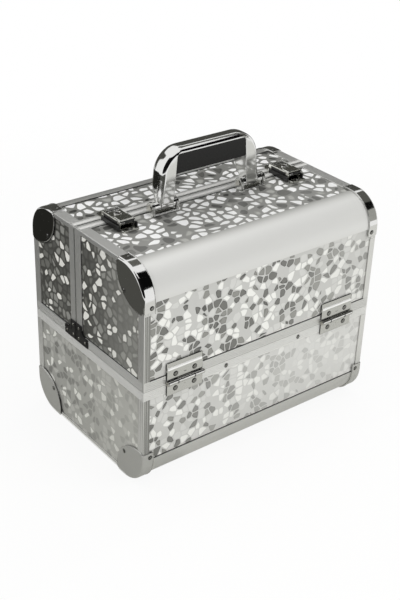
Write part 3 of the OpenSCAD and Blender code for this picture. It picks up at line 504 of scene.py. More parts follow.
tray_plastic = grained("black grained ABS", "#1d1d1c", 0.0, (1.1, 1.1, 1.1), (0.42, 0.56), 0.06)
velour = grained("black velour", "#161615", 0.0, (0.7, 0.7, 0.7), (0.85, 0.95), 0.15)
velour.node_tree.nodes["Principled BSDF"].inputs["Sheen Weight"].default_value = 0.5
velour.node_tree.nodes["Principled BSDF"].inputs["Sheen Roughness"].default_value = 0.4
# Black strips paint the shadows in gaps, slots and recesses.
shadow_gap = grained("black painted shadow strip", "#0d0d0d", 0.0, (2, 2, 2), (0.5, 0.7), 0.02)
print("materials:", len(bpy.data.materials))

# %% [markdown]
# ## Finishes on the CAD nodes
# A board, a pin or a lining has the right shape already, so it keeps its CAD mesh and gets its finish.

# %% Finishes on the CAD nodes
def dress(material, *names):
    """Put one finish on CAD nodes."""
    for name in names:
        nodes[name].data.materials.clear()
        nodes[name].data.materials.append(material)


dress(foil_front, "front_lid_front_panel", "rear_lid_rear_panel")
dress(foil_base, "base_front_panel", "base_rear_panel")
dress(foil_end, "front_lid_left_panel", "front_lid_right_panel", "rear_lid_left_panel",
      "rear_lid_right_panel")
dress(foil_base_end, "base_left_panel", "base_right_panel")
dress(foil_top, "front_lid_top_panel", "rear_lid_top_panel", "base_bottom_panel")
dress(painted_shade_edge_aluminium, "front_lid_round_edge")
dress(satin_aluminium, "base_front_edge", "base_rear_edge", "rear_lid_round_edge")
dress(nickel, "hinge_pins", "handle_pins", "latch_pins", "left_lock_barrel", "right_lock_barrel")
dress(zinc, "tray_arm_brackets", "front_tray_pivots", "rear_tray_pivots")
dress(velour, "base_lining", "front_lid_lining", "rear_lid_lining")
print("CAD nodes dressed:", sum(len(node.data.materials) for node in nodes.values()))

# %% [markdown]
# ## Softened edges
# CAD edges are knife sharp, and sharp edges catch no light. Real pressings and extrusions have a small
# radius, so each of these nodes is copied, its loose triangles are merged, and a Bevel modifier rounds
# every outer edge that is sharper than an angle. The copy then stands for its node.

# %% Softened edges
SHARP = math.radians(32)
FLAT = math.radians(0.5)
MERGE = 0.002 * MM
BEVEL_STEPS = 3
EVEN = "flat faces stay flat"


def merged(name):
    """The mesh of a CAD node with its loose triangles joined and its flat faces whole."""
    made = bmesh.new()
    made.from_mesh(nodes[name].data)
    bmesh.ops.remove_doubles(made, verts=made.verts, dist=MERGE)
    bmesh.ops.dissolve_limit(made, angle_limit=FLAT, verts=made.verts, edges=made.edges)
    return made


def plain_mesh(obj):
    """Turn an object's modifiers into plain mesh."""
    finished = bpy.data.meshes.new_from_object(obj.evaluated_get(bpy.context.evaluated_depsgraph_get()))
    obj.modifiers.clear()
    obj.data = finished


def new_piece(name, mesh, material=None):
    """An object at the origin with its place in its mesh."""
    made = bpy.data.objects.new(name, mesh)
    scene.collection.objects.link(made)
    if material:
        mesh.materials.clear()
        mesh.materials.append(material)
    return made


def carry(piece, body, node=None):
    """Let a piece ride on a body, and stand for a node where one is given."""
    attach(piece, body)
    if node:
        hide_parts(node)


def soften(node, radius, material, weigh=None):
    """Stand a copy with rounded edges in a node's place. weigh gives each edge its share of the radius."""
    shape = merged(node)
    weights = shape.edges.layers.float.new("bevel_weight_edge")
    for edge in shape.edges:
        if edge.is_convex and edge.calc_face_angle(0) > SHARP:
            middle = (edge.verts[0].co + edge.verts[1].co) / 2
            edge[weights] = weigh(middle) if weigh else 1.0
    for face in shape.faces:
        face.smooth = True
    mesh = to_mesh(shape, node + "_soft")
    mesh.set_sharp_from_angle(angle=SHARP)
    piece = new_piece(node + "_soft", mesh, material)
    bevel = piece.modifiers.new("round", "BEVEL")
    bevel.limit_method = "WEIGHT"
    bevel.width = radius * MM
    bevel.segments = BEVEL_STEPS
    bevel.use_clamp_overlap = False
    piece.modifiers.new(EVEN, "WEIGHTED_NORMAL").weight = 100
    plain_mesh(piece)
    carry(piece, body_of[node], node)


print("sharper than degrees:", round(math.degrees(SHARP)))

# %% [markdown]
# ## Which nodes are softened
# A thin extrusion or pressing has a radius of 0.3 to 0.5 mm. The corner caps are drawn deeper and get their
# full radius, 1.1 mm, round the end plates only, and none on their inner edges, where it has no room.

# %% Which nodes are softened
EDGE_IN = 75.5
ROUND_LOW = 241.0
BASE_BOARD = 38.5
CAP_END = cad_high.x - 1.4 * MM
CAP_Y = EDGE_IN * MM
CAP_HIGH = ROUND_LOW * MM
CAP_LOW = BASE_BOARD * MM
CAP_SHELL = 37.9 * MM
SHELL_SHARE = 0.4
CAP_ROUND = 1.1
FRAME_ROUND = 0.3
LEAF_ROUND = 0.35
YOKE_ROUND = 0.45
LATCH_ROUND = 0.5
TRAY_ROUND = 0.4


def cap_share(middle):
    """All of the radius round a cap's end plate, less on its other outer edges and none on its inner ones."""
    if abs(middle.x) > CAP_END:
        return 1.0
    rise = middle.z - CAP_HIGH if middle.z > CAP_HIGH / 2 else CAP_LOW - middle.z
    reach = math.hypot(max(abs(middle.y) - CAP_Y, 0), max(rise, 0))
    return SHELL_SHARE if reach > CAP_SHELL else 0.0


soften("base_corner_caps", CAP_ROUND, shaded_satin_nickel, cap_share)
for lid in ("front_lid", "rear_lid"):
    soften(lid + "_corner_caps", CAP_ROUND, chrome, cap_share)
    soften(lid + "_rim", FRAME_ROUND, satin_aluminium)
    soften(lid + "_end_frames", FRAME_ROUND, satin_aluminium)
    soften(lid + "_split_brackets", LEAF_ROUND, enamel)
soften("base_end_frames", FRAME_ROUND, satin_aluminium)
soften("base_rim", FRAME_ROUND, rim_aluminium)
for node in ("hinge_lower_leaves", "front_hinge_upper_leaves", "rear_hinge_upper_leaves"):
    soften(node, LEAF_ROUND, satin_chrome)
soften("handle_brackets", YOKE_ROUND, satin_chrome)
for node in ("latch_bases", "latch_keepers", "left_latch_lever", "right_latch_lever"):
    soften(node, LATCH_ROUND, smoked_chrome)
for side in ("front", "rear"):
    soften(side + "_tray_arms", TRAY_ROUND, zinc)
    soften(side + "_lower_tray", TRAY_ROUND, tray_plastic)
    soften(side + "_upper_tray", TRAY_ROUND, tray_plastic)

# %% [markdown]
# ## Handle
# The arch is a chrome casting with a broad round on the edges of its outside and small ones round its
# window. A bevel that wide folds over itself where the sides bend into the top, so the arch is lofted:
# we walk along it, take a point on the window and one on the outline, and lay a ring of points round the
# section between them. The rings are then joined by faces.

# %% Handle
RISE = 65.5
FOOT_R = 5.5
BEND_R = 32.0
BEND_X = 38.0
BEND_Z = RISE - BEND_R
FOOT_OUT = 75.0
LEAN = 5.0
FOOT_START = -0.97 * FOOT_R
WINDOW_TOP = 59.0
WINDOW_LOW = 6.5
WINDOW_FOOT = 54.0
WINDOW_R = 3.0
LEG_SHARE = 0.6
CORNER_SHARE = 0.25
LEG_STEPS = 14
BEND_STEPS = 22


def window_half(z):
    """Half width of the handle's window at a height above the pivot, in mm."""
    return WINDOW_FOOT - LEAN * (z + WINDOW_LOW) / (WINDOW_TOP + WINDOW_LOW)


def arch_walk():
    """Pairs of points on the window and on the outline, from the left foot to the middle, in mm."""
    pairs = []
    for i in range(LEG_STEPS):
        z = FOOT_START + (BEND_Z - FOOT_START) * i / LEG_STEPS
        pairs.append(((-window_half(z), z), (-FOOT_OUT + LEAN * (z + FOOT_R) / (BEND_Z + FOOT_R), z)))
    corner_x = window_half(WINDOW_TOP) - WINDOW_R
    corner_z = WINDOW_TOP - WINDOW_R
    for i in range(BEND_STEPS + 1):
        share = i / BEND_STEPS
        turn = share * math.pi / 2
        outer = (-BEND_X - BEND_R * math.cos(turn), BEND_Z + BEND_R * math.sin(turn))
        past_leg = share - LEG_SHARE
        past_corner = past_leg - CORNER_SHARE
        if past_leg < 0:
            z = BEND_Z + (corner_z - BEND_Z) * share / LEG_SHARE
            inner = (-window_half(z), z)
        elif past_corner < 0:
            bend = past_leg / CORNER_SHARE * math.pi / 2
            inner = (-corner_x - WINDOW_R * math.cos(bend), corner_z + WINDOW_R * math.sin(bend))
        else:
            top_share = 1 - LEG_SHARE - CORNER_SHARE
            inner = (-corner_x + (corner_x - BEND_X) * past_corner / top_share, WINDOW_TOP)
        pairs.append((inner, outer))
    return pairs


half = arch_walk()
walk = half + [((-inner[0], inner[1]), (-outer[0], outer[1])) for inner, outer in reversed(half)]
print("steps along the arch:", len(walk))

# %% [markdown]
# ## Section of the handle
# A section is a rectangle with rounded corners: broad elliptical ones on the outline and small round ones
# at the window. The feet taper to round eyes, which hold the pins, so a short cylinder closes each foot.

# %% Section of the handle
arch_low, arch_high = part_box("handle_arch")
FORE = 6.0
AFT = 17.0
FLARE = 22.0
PIVOT_Y = arch_low.y + FORE * MM
PIVOT_Z = arch_high.z - RISE * MM
OUTER_HIGH = 5.6
OUTER_DEEP = 9.0
INNER_ROUND = 0.9
HIGH_SHARE = 0.86
DEEP_SHARE = 0.42
INNER_SHARE = 0.2
ROUND_STEPS = 8
FOOT_X = 64.5
FOOT_W = 28.0
FOOT_SIDES = 40


def depth_at(z):
    """How far the handle reaches in front of its pivot and behind it at a height, in mm."""
    if z < 0:
        shrink = math.sqrt(1 - (z / FOOT_R) ** 2)
        return -FORE * shrink, FOOT_R * shrink
    return -FORE, min(AFT, FOOT_R + (AFT - FOOT_R) * z / FLARE)


def section(width, depth):
    """Points round a section: s runs from the window to the outline, t from front to back."""
    high = min(OUTER_HIGH, HIGH_SHARE * width)
    deep = min(OUTER_DEEP, DEEP_SHARE * depth)
    small = min(INNER_ROUND, INNER_SHARE * depth)
    corners = [(width, 0, high, deep, 0), (width, depth, high, deep, 1), (0, depth, small, small, 2),
               (0, 0, small, small, 3)]
    points = []
    for s, t, along_s, along_t, quarter in corners:
        middle_s = s - along_s if s else along_s
        middle_t = t - along_t if t else along_t
        for i in range(ROUND_STEPS + 1):
            angle = (quarter - 1 + i / ROUND_STEPS) * math.pi / 2
            points.append((middle_s + along_s * math.cos(angle), middle_t + along_t * math.sin(angle)))
    return points


arch = bmesh.new()
rings = []
for inner, outer in walk:
    width = math.dist(inner, outer)
    fore, aft = depth_at((inner[1] + outer[1]) / 2)
    ring = []
    for s, t in section(width, aft - fore):
        x = inner[0] + (outer[0] - inner[0]) * s / width
        z = inner[1] + (outer[1] - inner[1]) * s / width
        ring.append(arch.verts.new((x * MM, PIVOT_Y + (fore + t) * MM, PIVOT_Z + z * MM)))
    rings.append(ring)
for ring, following in zip(rings, rings[1:]):
    for i in range(len(ring)):
        j = (i + 1) % len(ring)
        arch.faces.new((ring[i], ring[j], following[j], following[i])).smooth = True
arch.faces.new(rings[0])
arch.faces.new(rings[-1])
for x in (-FOOT_X, FOOT_X):
    place = Matrix.Translation((x * MM, PIVOT_Y, PIVOT_Z)) @ Matrix.Rotation(math.pi / 2, 4, "Y")
    bmesh.ops.create_cone(arch, cap_ends=True, segments=FOOT_SIDES, radius1=FOOT_R * MM,
                          radius2=FOOT_R * MM, depth=FOOT_W * MM, matrix=place)
bmesh.ops.recalc_face_normals(arch, faces=arch.faces)
arch_mesh = to_mesh(arch, "handle_arch_cast")
arch_mesh.set_sharp_from_angle(angle=SHARP)
arch_piece = new_piece("handle_arch_cast", arch_mesh, chrome)
arch_piece.modifiers.new(EVEN, "WEIGHTED_NORMAL").keep_sharp = True
plain_mesh(arch_piece)
carry(arch_piece, body_of["handle_arch"], "handle_arch")
print("arch rings:", len(rings), "faces:", len(arch_piece.data.polygons))

# %% [markdown]
# ## Rivets and screws
# The heads are all alike, so Geometry Nodes will make one rivet and one screw and set them on points. Each
# point remembers which way its head faces. The places come from the CAD node's own solids: we find each
# island of the mesh, its thin direction is the way it faces, and the wider heads are the screws.

# %% Rivets and screws
SCREW_WIDER_THAN = 5.1 * MM


def islands(node):
    """The lowest and highest corner of each separate solid of a CAD node."""
    shape = merged(node)
    left = set(shape.verts)
    found = []
    while left:
        reached = [left.pop()]
        for vert in reached:
            fresh = {edge.other_vert(vert) for edge in vert.link_edges} & left
            left -= fresh
            reached.extend(fresh)
        places = [vert.co for vert in reached]
        found.append((Vector(map(min, *places)), Vector(map(max, *places))))
    shape.free()
    return found


def points_mesh(name, spots):
    """A mesh of points from places, with the way the head on each one faces and whether it is a screw."""
    mesh = bpy.data.meshes.new(name)
    places, facings, screws = zip(*spots)
    mesh.from_pydata(places, [], [])
    mesh.attributes.new("facing", "FLOAT_VECTOR", "POINT").data.foreach_set(
        "vector", [side for facing in facings for side in facing])
    mesh.attributes.new("screw", "BOOLEAN", "POINT").data.foreach_set("value", screws)
    return mesh


def head_spots(node):
    """Where the heads of a node sit, the way each one faces and whether it is a screw."""
    spots = []
    for low, high in islands(node):
        size = high - low
        middle = (low + high) / 2
        axis = min(range(3), key=lambda i: size[i])
        facing = Vector((0, 0, 0))
        facing[axis] = 1 if axis == 2 or middle[axis] > 0 else -1
        spots.append((middle - facing * size[axis] / 2, facing, max(size) > SCREW_WIDER_THAN))
    return spots


HEAD_NODES = ("base_fasteners", "front_lid_fasteners", "rear_lid_fasteners")
spots_of = {node: head_spots(node) for node in HEAD_NODES}
print("heads:", {node: len(spots) for node, spots in spots_of.items()})

# %% [markdown]
# ## Tree of the heads
# A rivet's head is a flattened ball. A screw's head gets a cross recess, cut with a Boolean, with a dark
# cross at its bottom as painted shade, and every head sits on a thin dark disc, a painted shadow line round
# it. The sizes and the two finishes are the tree's inputs.

# %% Tree of the heads
def new_tree(name, inputs):
    """A Geometry Nodes tree that takes a geometry and inputs of named kinds, and gives a geometry."""
    tree = bpy.data.node_groups.new(name, "GeometryNodeTree")
    for label, kind in {"Geometry": "Geometry", **inputs}.items():
        tree.interface.new_socket(label, in_out="INPUT", socket_type="NodeSocket" + kind)
    tree.interface.new_socket("Geometry", in_out="OUTPUT", socket_type="NodeSocketGeometry")
    return tree


HEAD_SIZES = {"Rivet Radius": 2.3 * MM, "Screw Radius": 2.8 * MM, "Head Height": 1.0 * MM,
              "Recess Width": 1.1 * MM, "Recess Depth": 0.6 * MM, "Shadow Edge": 0.5 * MM}
SHADOW_DISC_DEPTH = 0.3 * MM
SHADOW_DISC_SIDES = 24
CROSS_DEPTH = 0.2 * MM
BALL_SEGMENTS = 20
BALL_RINGS = 12
heads = new_tree("rivet and screw heads", {**{name: "Float" for name in HEAD_SIZES},
                                           "Head Finish": "Material", "Shade Finish": "Material"})
given = add(heads, "NodeGroupInput").outputs
facing = add(heads, "GeometryNodeInputNamedAttribute", {"data_type": "FLOAT_VECTOR"}, {"Name": "facing"})
is_screw = add(heads, "GeometryNodeInputNamedAttribute", {"data_type": "BOOLEAN"}, {"Name": "screw"})
is_rivet = add(heads, "FunctionNodeBooleanMath", {"operation": "NOT"}, {0: is_screw.outputs["Attribute"]})
turned = add(heads, "FunctionNodeAlignRotationToVector", {"axis": "Z"},
             {"Vector": facing.outputs["Attribute"]})
ball = add(heads, "GeometryNodeMeshUVSphere", None,
           {"Segments": BALL_SEGMENTS, "Rings": BALL_RINGS, "Radius": 1.0})


def dome(radius):
    """A ball flattened to a head of a given radius."""
    size = add(heads, "ShaderNodeCombineXYZ", None, {"X": radius, "Y": radius, "Z": given["Head Height"]})
    return add(heads, "GeometryNodeTransform", None,
               {"Geometry": ball.outputs["Mesh"], "Scale": size.outputs["Vector"]}).outputs["Geometry"]


def cross(depth, lift):
    """Two crossed bars of a given depth, a given height above the foot of the head."""
    bars = []
    for along in ("X", "Y"):
        other = "Y" if along == "X" else "X"
        size = add(heads, "ShaderNodeCombineXYZ", None,
                   {along: given["Screw Radius"], other: given["Recess Width"], "Z": depth})
        bar = add(heads, "GeometryNodeMeshCube", None, {"Size": size.outputs["Vector"]})
        bars.append(bar.outputs["Mesh"])
    both = add(heads, "GeometryNodeJoinGeometry", None, {"Geometry": bars})
    raise_by = add(heads, "ShaderNodeCombineXYZ", None, {"Z": lift})
    return add(heads, "GeometryNodeTransform", None,
               {"Geometry": both.outputs["Geometry"],
                "Translation": raise_by.outputs["Vector"]}).outputs["Geometry"]


def shadow_disc(radius):
    """A thin flat disc a little wider than a head, painted as the shadow line round it."""
    wide = add(heads, "ShaderNodeMath", {"operation": "ADD"}, {0: radius, 1: given["Shadow Edge"]})
    disc = add(heads, "GeometryNodeMeshCylinder", None,
               {"Vertices": SHADOW_DISC_SIDES, "Radius": wide.outputs[0], "Depth": SHADOW_DISC_DEPTH})
    return disc.outputs["Mesh"]


def on_points(shape, selection, finish):
    """Set a shape on the chosen points, as real mesh with a finish."""
    placed = add(heads, "GeometryNodeInstanceOnPoints", None,
                 {"Points": given["Geometry"], "Selection": selection, "Instance": shape,
                  "Rotation": turned.outputs["Rotation"]})
    real = add(heads, "GeometryNodeRealizeInstances", None, {"Geometry": placed.outputs["Instances"]})
    smooth = add(heads, "GeometryNodeSetShadeSmooth", None, {"Geometry": real.outputs["Geometry"]})
    return add(heads, "GeometryNodeSetMaterial", None,
               {"Geometry": smooth.outputs["Geometry"], "Material": finish}).outputs["Geometry"]


twice_depth = add(heads, "ShaderNodeMath", {"operation": "MULTIPLY"}, {0: given["Recess Depth"], 1: 2.0})
bottom = add(heads, "ShaderNodeMath", {"operation": "SUBTRACT"},
             {0: given["Head Height"], 1: given["Recess Depth"]})
cut = add(heads, "GeometryNodeMeshBoolean", {"operation": "DIFFERENCE"},
          {"Mesh 1": dome(given["Screw Radius"]),
           "Mesh 2": cross(twice_depth.outputs[0], given["Head Height"])})
# The dark cross in each recess and the dark discs under the heads are painted shade.
parts = [on_points(dome(given["Rivet Radius"]), is_rivet.outputs[0], given["Head Finish"]),
         on_points(cut.outputs["Mesh"], is_screw.outputs["Attribute"], given["Head Finish"]),
         on_points(cross(CROSS_DEPTH, bottom.outputs[0]), is_screw.outputs["Attribute"],
                   given["Shade Finish"]),
         on_points(shadow_disc(given["Rivet Radius"]), is_rivet.outputs[0], given["Shade Finish"]),
         on_points(shadow_disc(given["Screw Radius"]), is_screw.outputs["Attribute"], given["Shade Finish"])]
all_heads = add(heads, "GeometryNodeJoinGeometry", None, {"Geometry": parts})
add(heads, "NodeGroupOutput", None, {"Geometry": all_heads.outputs["Geometry"]})
print("nodes that make a head:", len(heads.nodes))

# %% [markdown]
# ## Setting the heads
# A modifier's inputs are set by the identifiers of the tree's sockets. The result is kept as plain mesh,
# because instances and modifiers would be lost in an export.

# %% Setting the heads
def run_tree(piece, tree, values):
    """Run a node group on a piece with named inputs, and keep its result as plain mesh."""
    modifier = piece.modifiers.new("nodes", "NODES")
    modifier.node_group = tree
    for item in tree.interface.items_tree:
        if item.name in values:
            modifier[item.identifier] = values[item.name]
    plain_mesh(piece)


for node, spots in spots_of.items():
    piece = new_piece(node + "_heads", points_mesh(node + "_heads", spots))
    run_tree(piece, heads, {**HEAD_SIZES, "Head Finish": dark_nickel, "Shade Finish": shadow_gap})
    carry(piece, body_of[node], node)
    print(node, "faces:", len(piece.data.polygons))

# %% [markdown]
# ## Ribs, gap lines and trim
# Drawn rims have fine ribs along them, the boards end in gaps drawn as thin black lines of painted shadow,
# and the pressings have beads and lips. All of these are thin lines along a path, so one Geometry Nodes
# tree makes them: it turns edges into curves, sweeps a small circle along them and gives the result a
# finish. A line lies half in the surface that carries it. We only list the paths, in mm, one list of points
# for each.

# %% Ribs, gap lines and trim
LINE_SIDES = 10
lines_tree = new_tree("swept lines", {"Radius": "Float", "Finish": "Material"})
given_line = add(lines_tree, "NodeGroupInput").outputs
paths = add(lines_tree, "GeometryNodeMeshToCurve", None, {"Mesh": given_line["Geometry"]})
circle = add(lines_tree, "GeometryNodeCurvePrimitiveCircle", None,
             {"Resolution": LINE_SIDES, "Radius": given_line["Radius"]})
swept = add(lines_tree, "GeometryNodeCurveToMesh", None,
            {"Curve": paths.outputs["Curve"], "Profile Curve": circle.outputs["Curve"], "Fill Caps": True})
rounded = add(lines_tree, "GeometryNodeSetShadeSmooth", None, {"Geometry": swept.outputs["Mesh"]})
real = add(lines_tree, "GeometryNodeRealizeInstances", None, {"Geometry": rounded.outputs["Geometry"]})
finished = add(lines_tree, "GeometryNodeSetMaterial", None,
               {"Geometry": real.outputs["Geometry"], "Material": given_line["Finish"]})
add(lines_tree, "NodeGroupOutput", None, {"Geometry": finished.outputs["Geometry"]})


def lines(name, body, radius, finish, routes):
    """Sweep lines along routes, lists of points in mm, and let them ride on a body."""
    points, edges = [], []
    for route in routes:
        first = len(points)
        points.extend(Vector(point) * MM for point in route)
        edges.extend((i, i + 1) for i in range(first, len(points) - 1))
    mesh = bpy.data.meshes.new(name)
    mesh.from_pydata(points, edges, [])
    piece = new_piece(name, mesh)
    run_tree(piece, lines_tree, {"Radius": radius * MM, "Finish": finish})
    carry(piece, body)
    print(name, "lines:", len(routes), "faces:", len(piece.data.polygons))


print("nodes that sweep a line:", len(lines_tree.nodes))

# %% [markdown]
# ## Ribs on the rims and posts
# Each band of the rims, 11.5 mm wide, carries four ribs 2.4 mm apart, and the strips round the ends carry
# two. They stand 0.3 mm proud. This cell also names the heights and edges that the later trim goes by.

# %% Ribs on the rims and posts
BASE, FRONT, REAR = (body_of[name] for name in ("base_rim", "front_lid_rim", "rear_lid_rim"))
SIDES = (-1, 1)
HALF_W = 170.0
HALF_D = 112.5
TOP = 278.0
RIB_R = 0.5
SUNK = 0.2
BAND_RIBS = (2.2, 4.6, 6.9, 9.3)
STRIP_RIBS = (3.4, 7.2)
BASE_BAND = 120.8
LID_BAND = 132.7
LID_BOARD = 144.2
STRIP_FOOT = 145.0
POST_FOOT = 146.0
POST_TOP = 276.5
BASE_ROUND = 39.0
FRONT_SPLIT = 9.8
REAR_SPLIT = 21.7
REAR_BOARD = 33.2
RIB_END = 110.0
RIB_SHORT = 2.0
FACE_SHARE = 0.75
wall_x = HALF_W - SUNK
wall_y = HALF_D - SUNK


def along_x(y, z, half=HALF_W - RIB_SHORT):
    """A line along the long side."""
    return [(-half, y, z), (half, y, z)]


def on_ends(y_from, y_to, z_from, z_to, x=wall_x):
    """The same line on the left and the right end."""
    return [[(side * x, y_from, z_from), (side * x, y_to, z_to)] for side in SIDES]


base_ribs, front_ribs, rear_ribs = [], [], []
for up_by in BAND_RIBS:
    base_z, lid_z = BASE_BAND + up_by, LID_BAND + up_by
    base_ribs += [along_x(-wall_y, base_z), along_x(wall_y, base_z)]
    base_ribs += on_ends(-RIB_END, RIB_END, base_z, base_z)
    front_ribs.append(along_x(-wall_y, lid_z))
    front_ribs += on_ends(-RIB_END, FRONT_SPLIT, lid_z, lid_z)
    front_ribs += on_ends(FRONT_SPLIT + up_by, FRONT_SPLIT + up_by, POST_FOOT, POST_TOP)
    rear_ribs.append(along_x(wall_y, lid_z))
    rear_ribs += on_ends(REAR_BOARD, RIB_END, lid_z, lid_z)
    rear_ribs += on_ends(REAR_SPLIT + up_by, REAR_SPLIT + up_by, POST_FOOT, POST_TOP)
for in_by in STRIP_RIBS:
    for ribs, y, z_from, z_to in ((base_ribs, -HALF_D + in_by, BASE_ROUND, BASE_BAND),
                                  (base_ribs, HALF_D - in_by, BASE_ROUND, BASE_BAND),
                                  (front_ribs, -HALF_D + in_by, STRIP_FOOT, ROUND_LOW),
                                  (rear_ribs, HALF_D - in_by, STRIP_FOOT, ROUND_LOW)):
        ribs += on_ends(y, y, z_from, z_to)
        for side in SIDES:
            x = side * (HALF_W - FACE_SHARE * in_by)
            face = -wall_y if y < 0 else wall_y
            ribs.append([(x, face, z_from), (x, face, z_to)])
lines("base_ribs", BASE, RIB_R, rim_aluminium, base_ribs)
lines("front_lid_ribs", FRONT, RIB_R, satin_aluminium, front_ribs)
lines("rear_lid_ribs", REAR, RIB_R, satin_aluminium, rear_ribs)

# %% [markdown]
# ## Crowned bands, strips and post faces
# On top, the two bands along the split are crowned: a wide line, sunk until 0.8 mm of it shows. A flat
# strip lies on each end of the tops, as wide as the corner caps, and the posts have a flat face on the
# long sides, which is rougher and painted darker as shade on the left, and satin on the right. These are
# plates with bevelled edges.

# %% Crowned bands, strips and post faces
CROWN_R = 7.0
CROWN_Z = TOP + 0.8 - CROWN_R
FRONT_CROWN = 15.4
REAR_CROWN = 27.6
STRIP_IN = HALF_W - 13.5
STRIP_OUT = 169.8
STRIP_LOW = TOP - 1.4
STRIP_HIGH = TOP + 0.2
CAP_TAB = 63.5
POST_IN = 161.4
POST_OUT = 168.6
POST_SUNK = 0.6
POST_PROUD = 0.25
FACE_TOP = ROUND_LOW - 14
STRIP_ROUND = 0.4
FACE_ROUND = 0.2
PLATE_STEPS = 4


def plate(name, low, high, radius, finish, body, node=None):
    """A plate between two corners in mm, with rounded edges, that may stand for a node."""
    shape = bmesh.new()
    low, high = Vector(low), Vector(high)
    place = Matrix.Translation((high + low) / 2 * MM) @ Matrix.Diagonal((high - low) * MM).to_4x4()
    bmesh.ops.create_cube(shape, size=1.0, matrix=place)
    bmesh.ops.bevel(shape, geom=shape.edges[:], offset=radius * MM, segments=PLATE_STEPS, affect="EDGES",
                    profile=0.5)
    mesh = to_mesh(shape, name)
    mesh.shade_smooth()
    piece = new_piece(name, mesh, finish)
    piece.modifiers.new(EVEN, "WEIGHTED_NORMAL")
    plain_mesh(piece)
    carry(piece, body, node)


for lid, name, crown_y, y_from, y_to in (
        (FRONT, "front_lid", FRONT_CROWN, -CAP_TAB, FRONT_SPLIT - SUNK),
        (REAR, "rear_lid", REAR_CROWN, REAR_BOARD + SUNK, CAP_TAB)):
    lines(name + "_split_crown", lid, CROWN_R, blasted_aluminium,
          [along_x(crown_y, CROWN_Z)])
    for x_from, x_to, side in ((-STRIP_OUT, -STRIP_IN, "left"), (STRIP_IN, STRIP_OUT, "right")):
        plate(name + "_" + side + "_top_strip", (x_from, y_from, STRIP_LOW), (x_to, y_to, STRIP_HIGH),
              STRIP_ROUND, satin_aluminium, lid)
# The darker faces of the posts on the left are painted shade.
for body, name, y_sides, z_from, z_to in ((BASE, "base", SIDES, BASE_ROUND, BASE_BAND),
                                          (FRONT, "front_lid", (-1,), STRIP_FOOT, FACE_TOP),
                                          (REAR, "rear_lid", (1,), STRIP_FOOT, FACE_TOP)):
    for y_side in y_sides:
        y_from, y_to = sorted((y_side * (HALF_D - POST_SUNK), y_side * (HALF_D + POST_PROUD)))
        front_or_rear = "rear_" if y_side > 0 else "front_"
        for x_from, x_to, side, finish in ((-POST_OUT, -POST_IN, "left", shaded_left_aluminium),
                                           (POST_IN, POST_OUT, "right", satin_aluminium)):
            plate(name + "_" + front_or_rear + side + "_post_face", (x_from, y_from, z_from),
                  (x_to, y_to, z_to), FACE_ROUND, finish, body)

# %% [markdown]
# ## Gap lines
# A board sits 1.2 mm behind the metal round it, and the shadow in the gap between them reads as a thin black
# line. A black cord, 0.9 mm thick, lies in that corner as painted shadow. Another paints the shadow of the
# split along the rear lid.

# %% Gap lines
GAP_R = 0.45
BOARD_DEEP = 1.2
BOARD_X = HALF_W - BOARD_DEEP
BOARD_Y = HALF_D - BOARD_DEEP
BOARD_Z = TOP - BOARD_DEEP
EDGE_GAP_Z = TOP - 1.0
LID_GAP = LID_BOARD + GAP_R
BASE_GAP = BASE_BOARD + GAP_R
FRONT_GAP = FRONT_SPLIT - GAP_R
REAR_GAP = REAR_BOARD + GAP_R
LONG_HALF = 161.0
TOP_HALF = 156.0
END_HALF = 104.0
GAP_TOP = 270.0
SPLIT_SHADOW_Y = 22.2
SPLIT_SHADOW_HALF = 166.0
SPLIT_SHADOW_TOP = 276.0
SPLIT_SHADOW_SUNK = 0.2
base_gaps = [along_x(-BOARD_Y, BASE_GAP, LONG_HALF), along_x(BOARD_Y, BASE_GAP, LONG_HALF)]
front_gaps = [along_x(-BOARD_Y, LID_GAP, LONG_HALF), along_x(FRONT_GAP, BOARD_Z, TOP_HALF)]
front_gaps += on_ends(-END_HALF, FRONT_SPLIT, LID_GAP, LID_GAP, BOARD_X)
front_gaps += on_ends(FRONT_GAP, FRONT_GAP, LID_BOARD, GAP_TOP, BOARD_X)
# The black line along the split on the rear lid is painted shadow.
rear_gaps = [along_x(BOARD_Y, LID_GAP, LONG_HALF), along_x(SPLIT_SHADOW_Y, TOP - SPLIT_SHADOW_SUNK, SPLIT_SHADOW_HALF)]
rear_gaps += [along_x(REAR_GAP, BOARD_Z, TOP_HALF), along_x(EDGE_IN - GAP_R, EDGE_GAP_Z, TOP_HALF)]
rear_gaps += on_ends(SPLIT_SHADOW_Y, SPLIT_SHADOW_Y, POST_FOOT, SPLIT_SHADOW_TOP, HALF_W - SPLIT_SHADOW_SUNK)
rear_gaps += on_ends(REAR_BOARD, END_HALF, LID_GAP, LID_GAP, BOARD_X)
rear_gaps += on_ends(REAR_GAP, REAR_GAP, LID_BOARD, GAP_TOP, BOARD_X)
for name, body, gaps in (("base_gap_cords", BASE, base_gaps), ("front_lid_gap_cords", FRONT, front_gaps),
                         ("rear_lid_gap_cords", REAR, rear_gaps)):
    lines(name, body, GAP_R, shadow_gap, gaps)

# %% [markdown]
# ## Lips of the corner caps
# A pressed cap ends in a rolled lip. It follows the cap's outside from the tab on the top, round the edge
# and down the front. On the base it stops above the floor. A dark line of painted shadow lies where the
# cap's end plate stands off the board.

# %% Lips of the corner caps
CAP_R = 38.5
CAP_IN = 156.6
TAB_DROP = 12.0
PLATE_R = 41.3
PLATE_X = 170.4
PLATE_Y = 104.0
BASE_PLATE_Z = 8.5
LID_PLATE_Z = 269.5
PLATE_START = -6
PLATE_TURN = 102
BASE_START = 25
LIP_R = 0.5
ARC_STEPS = 14


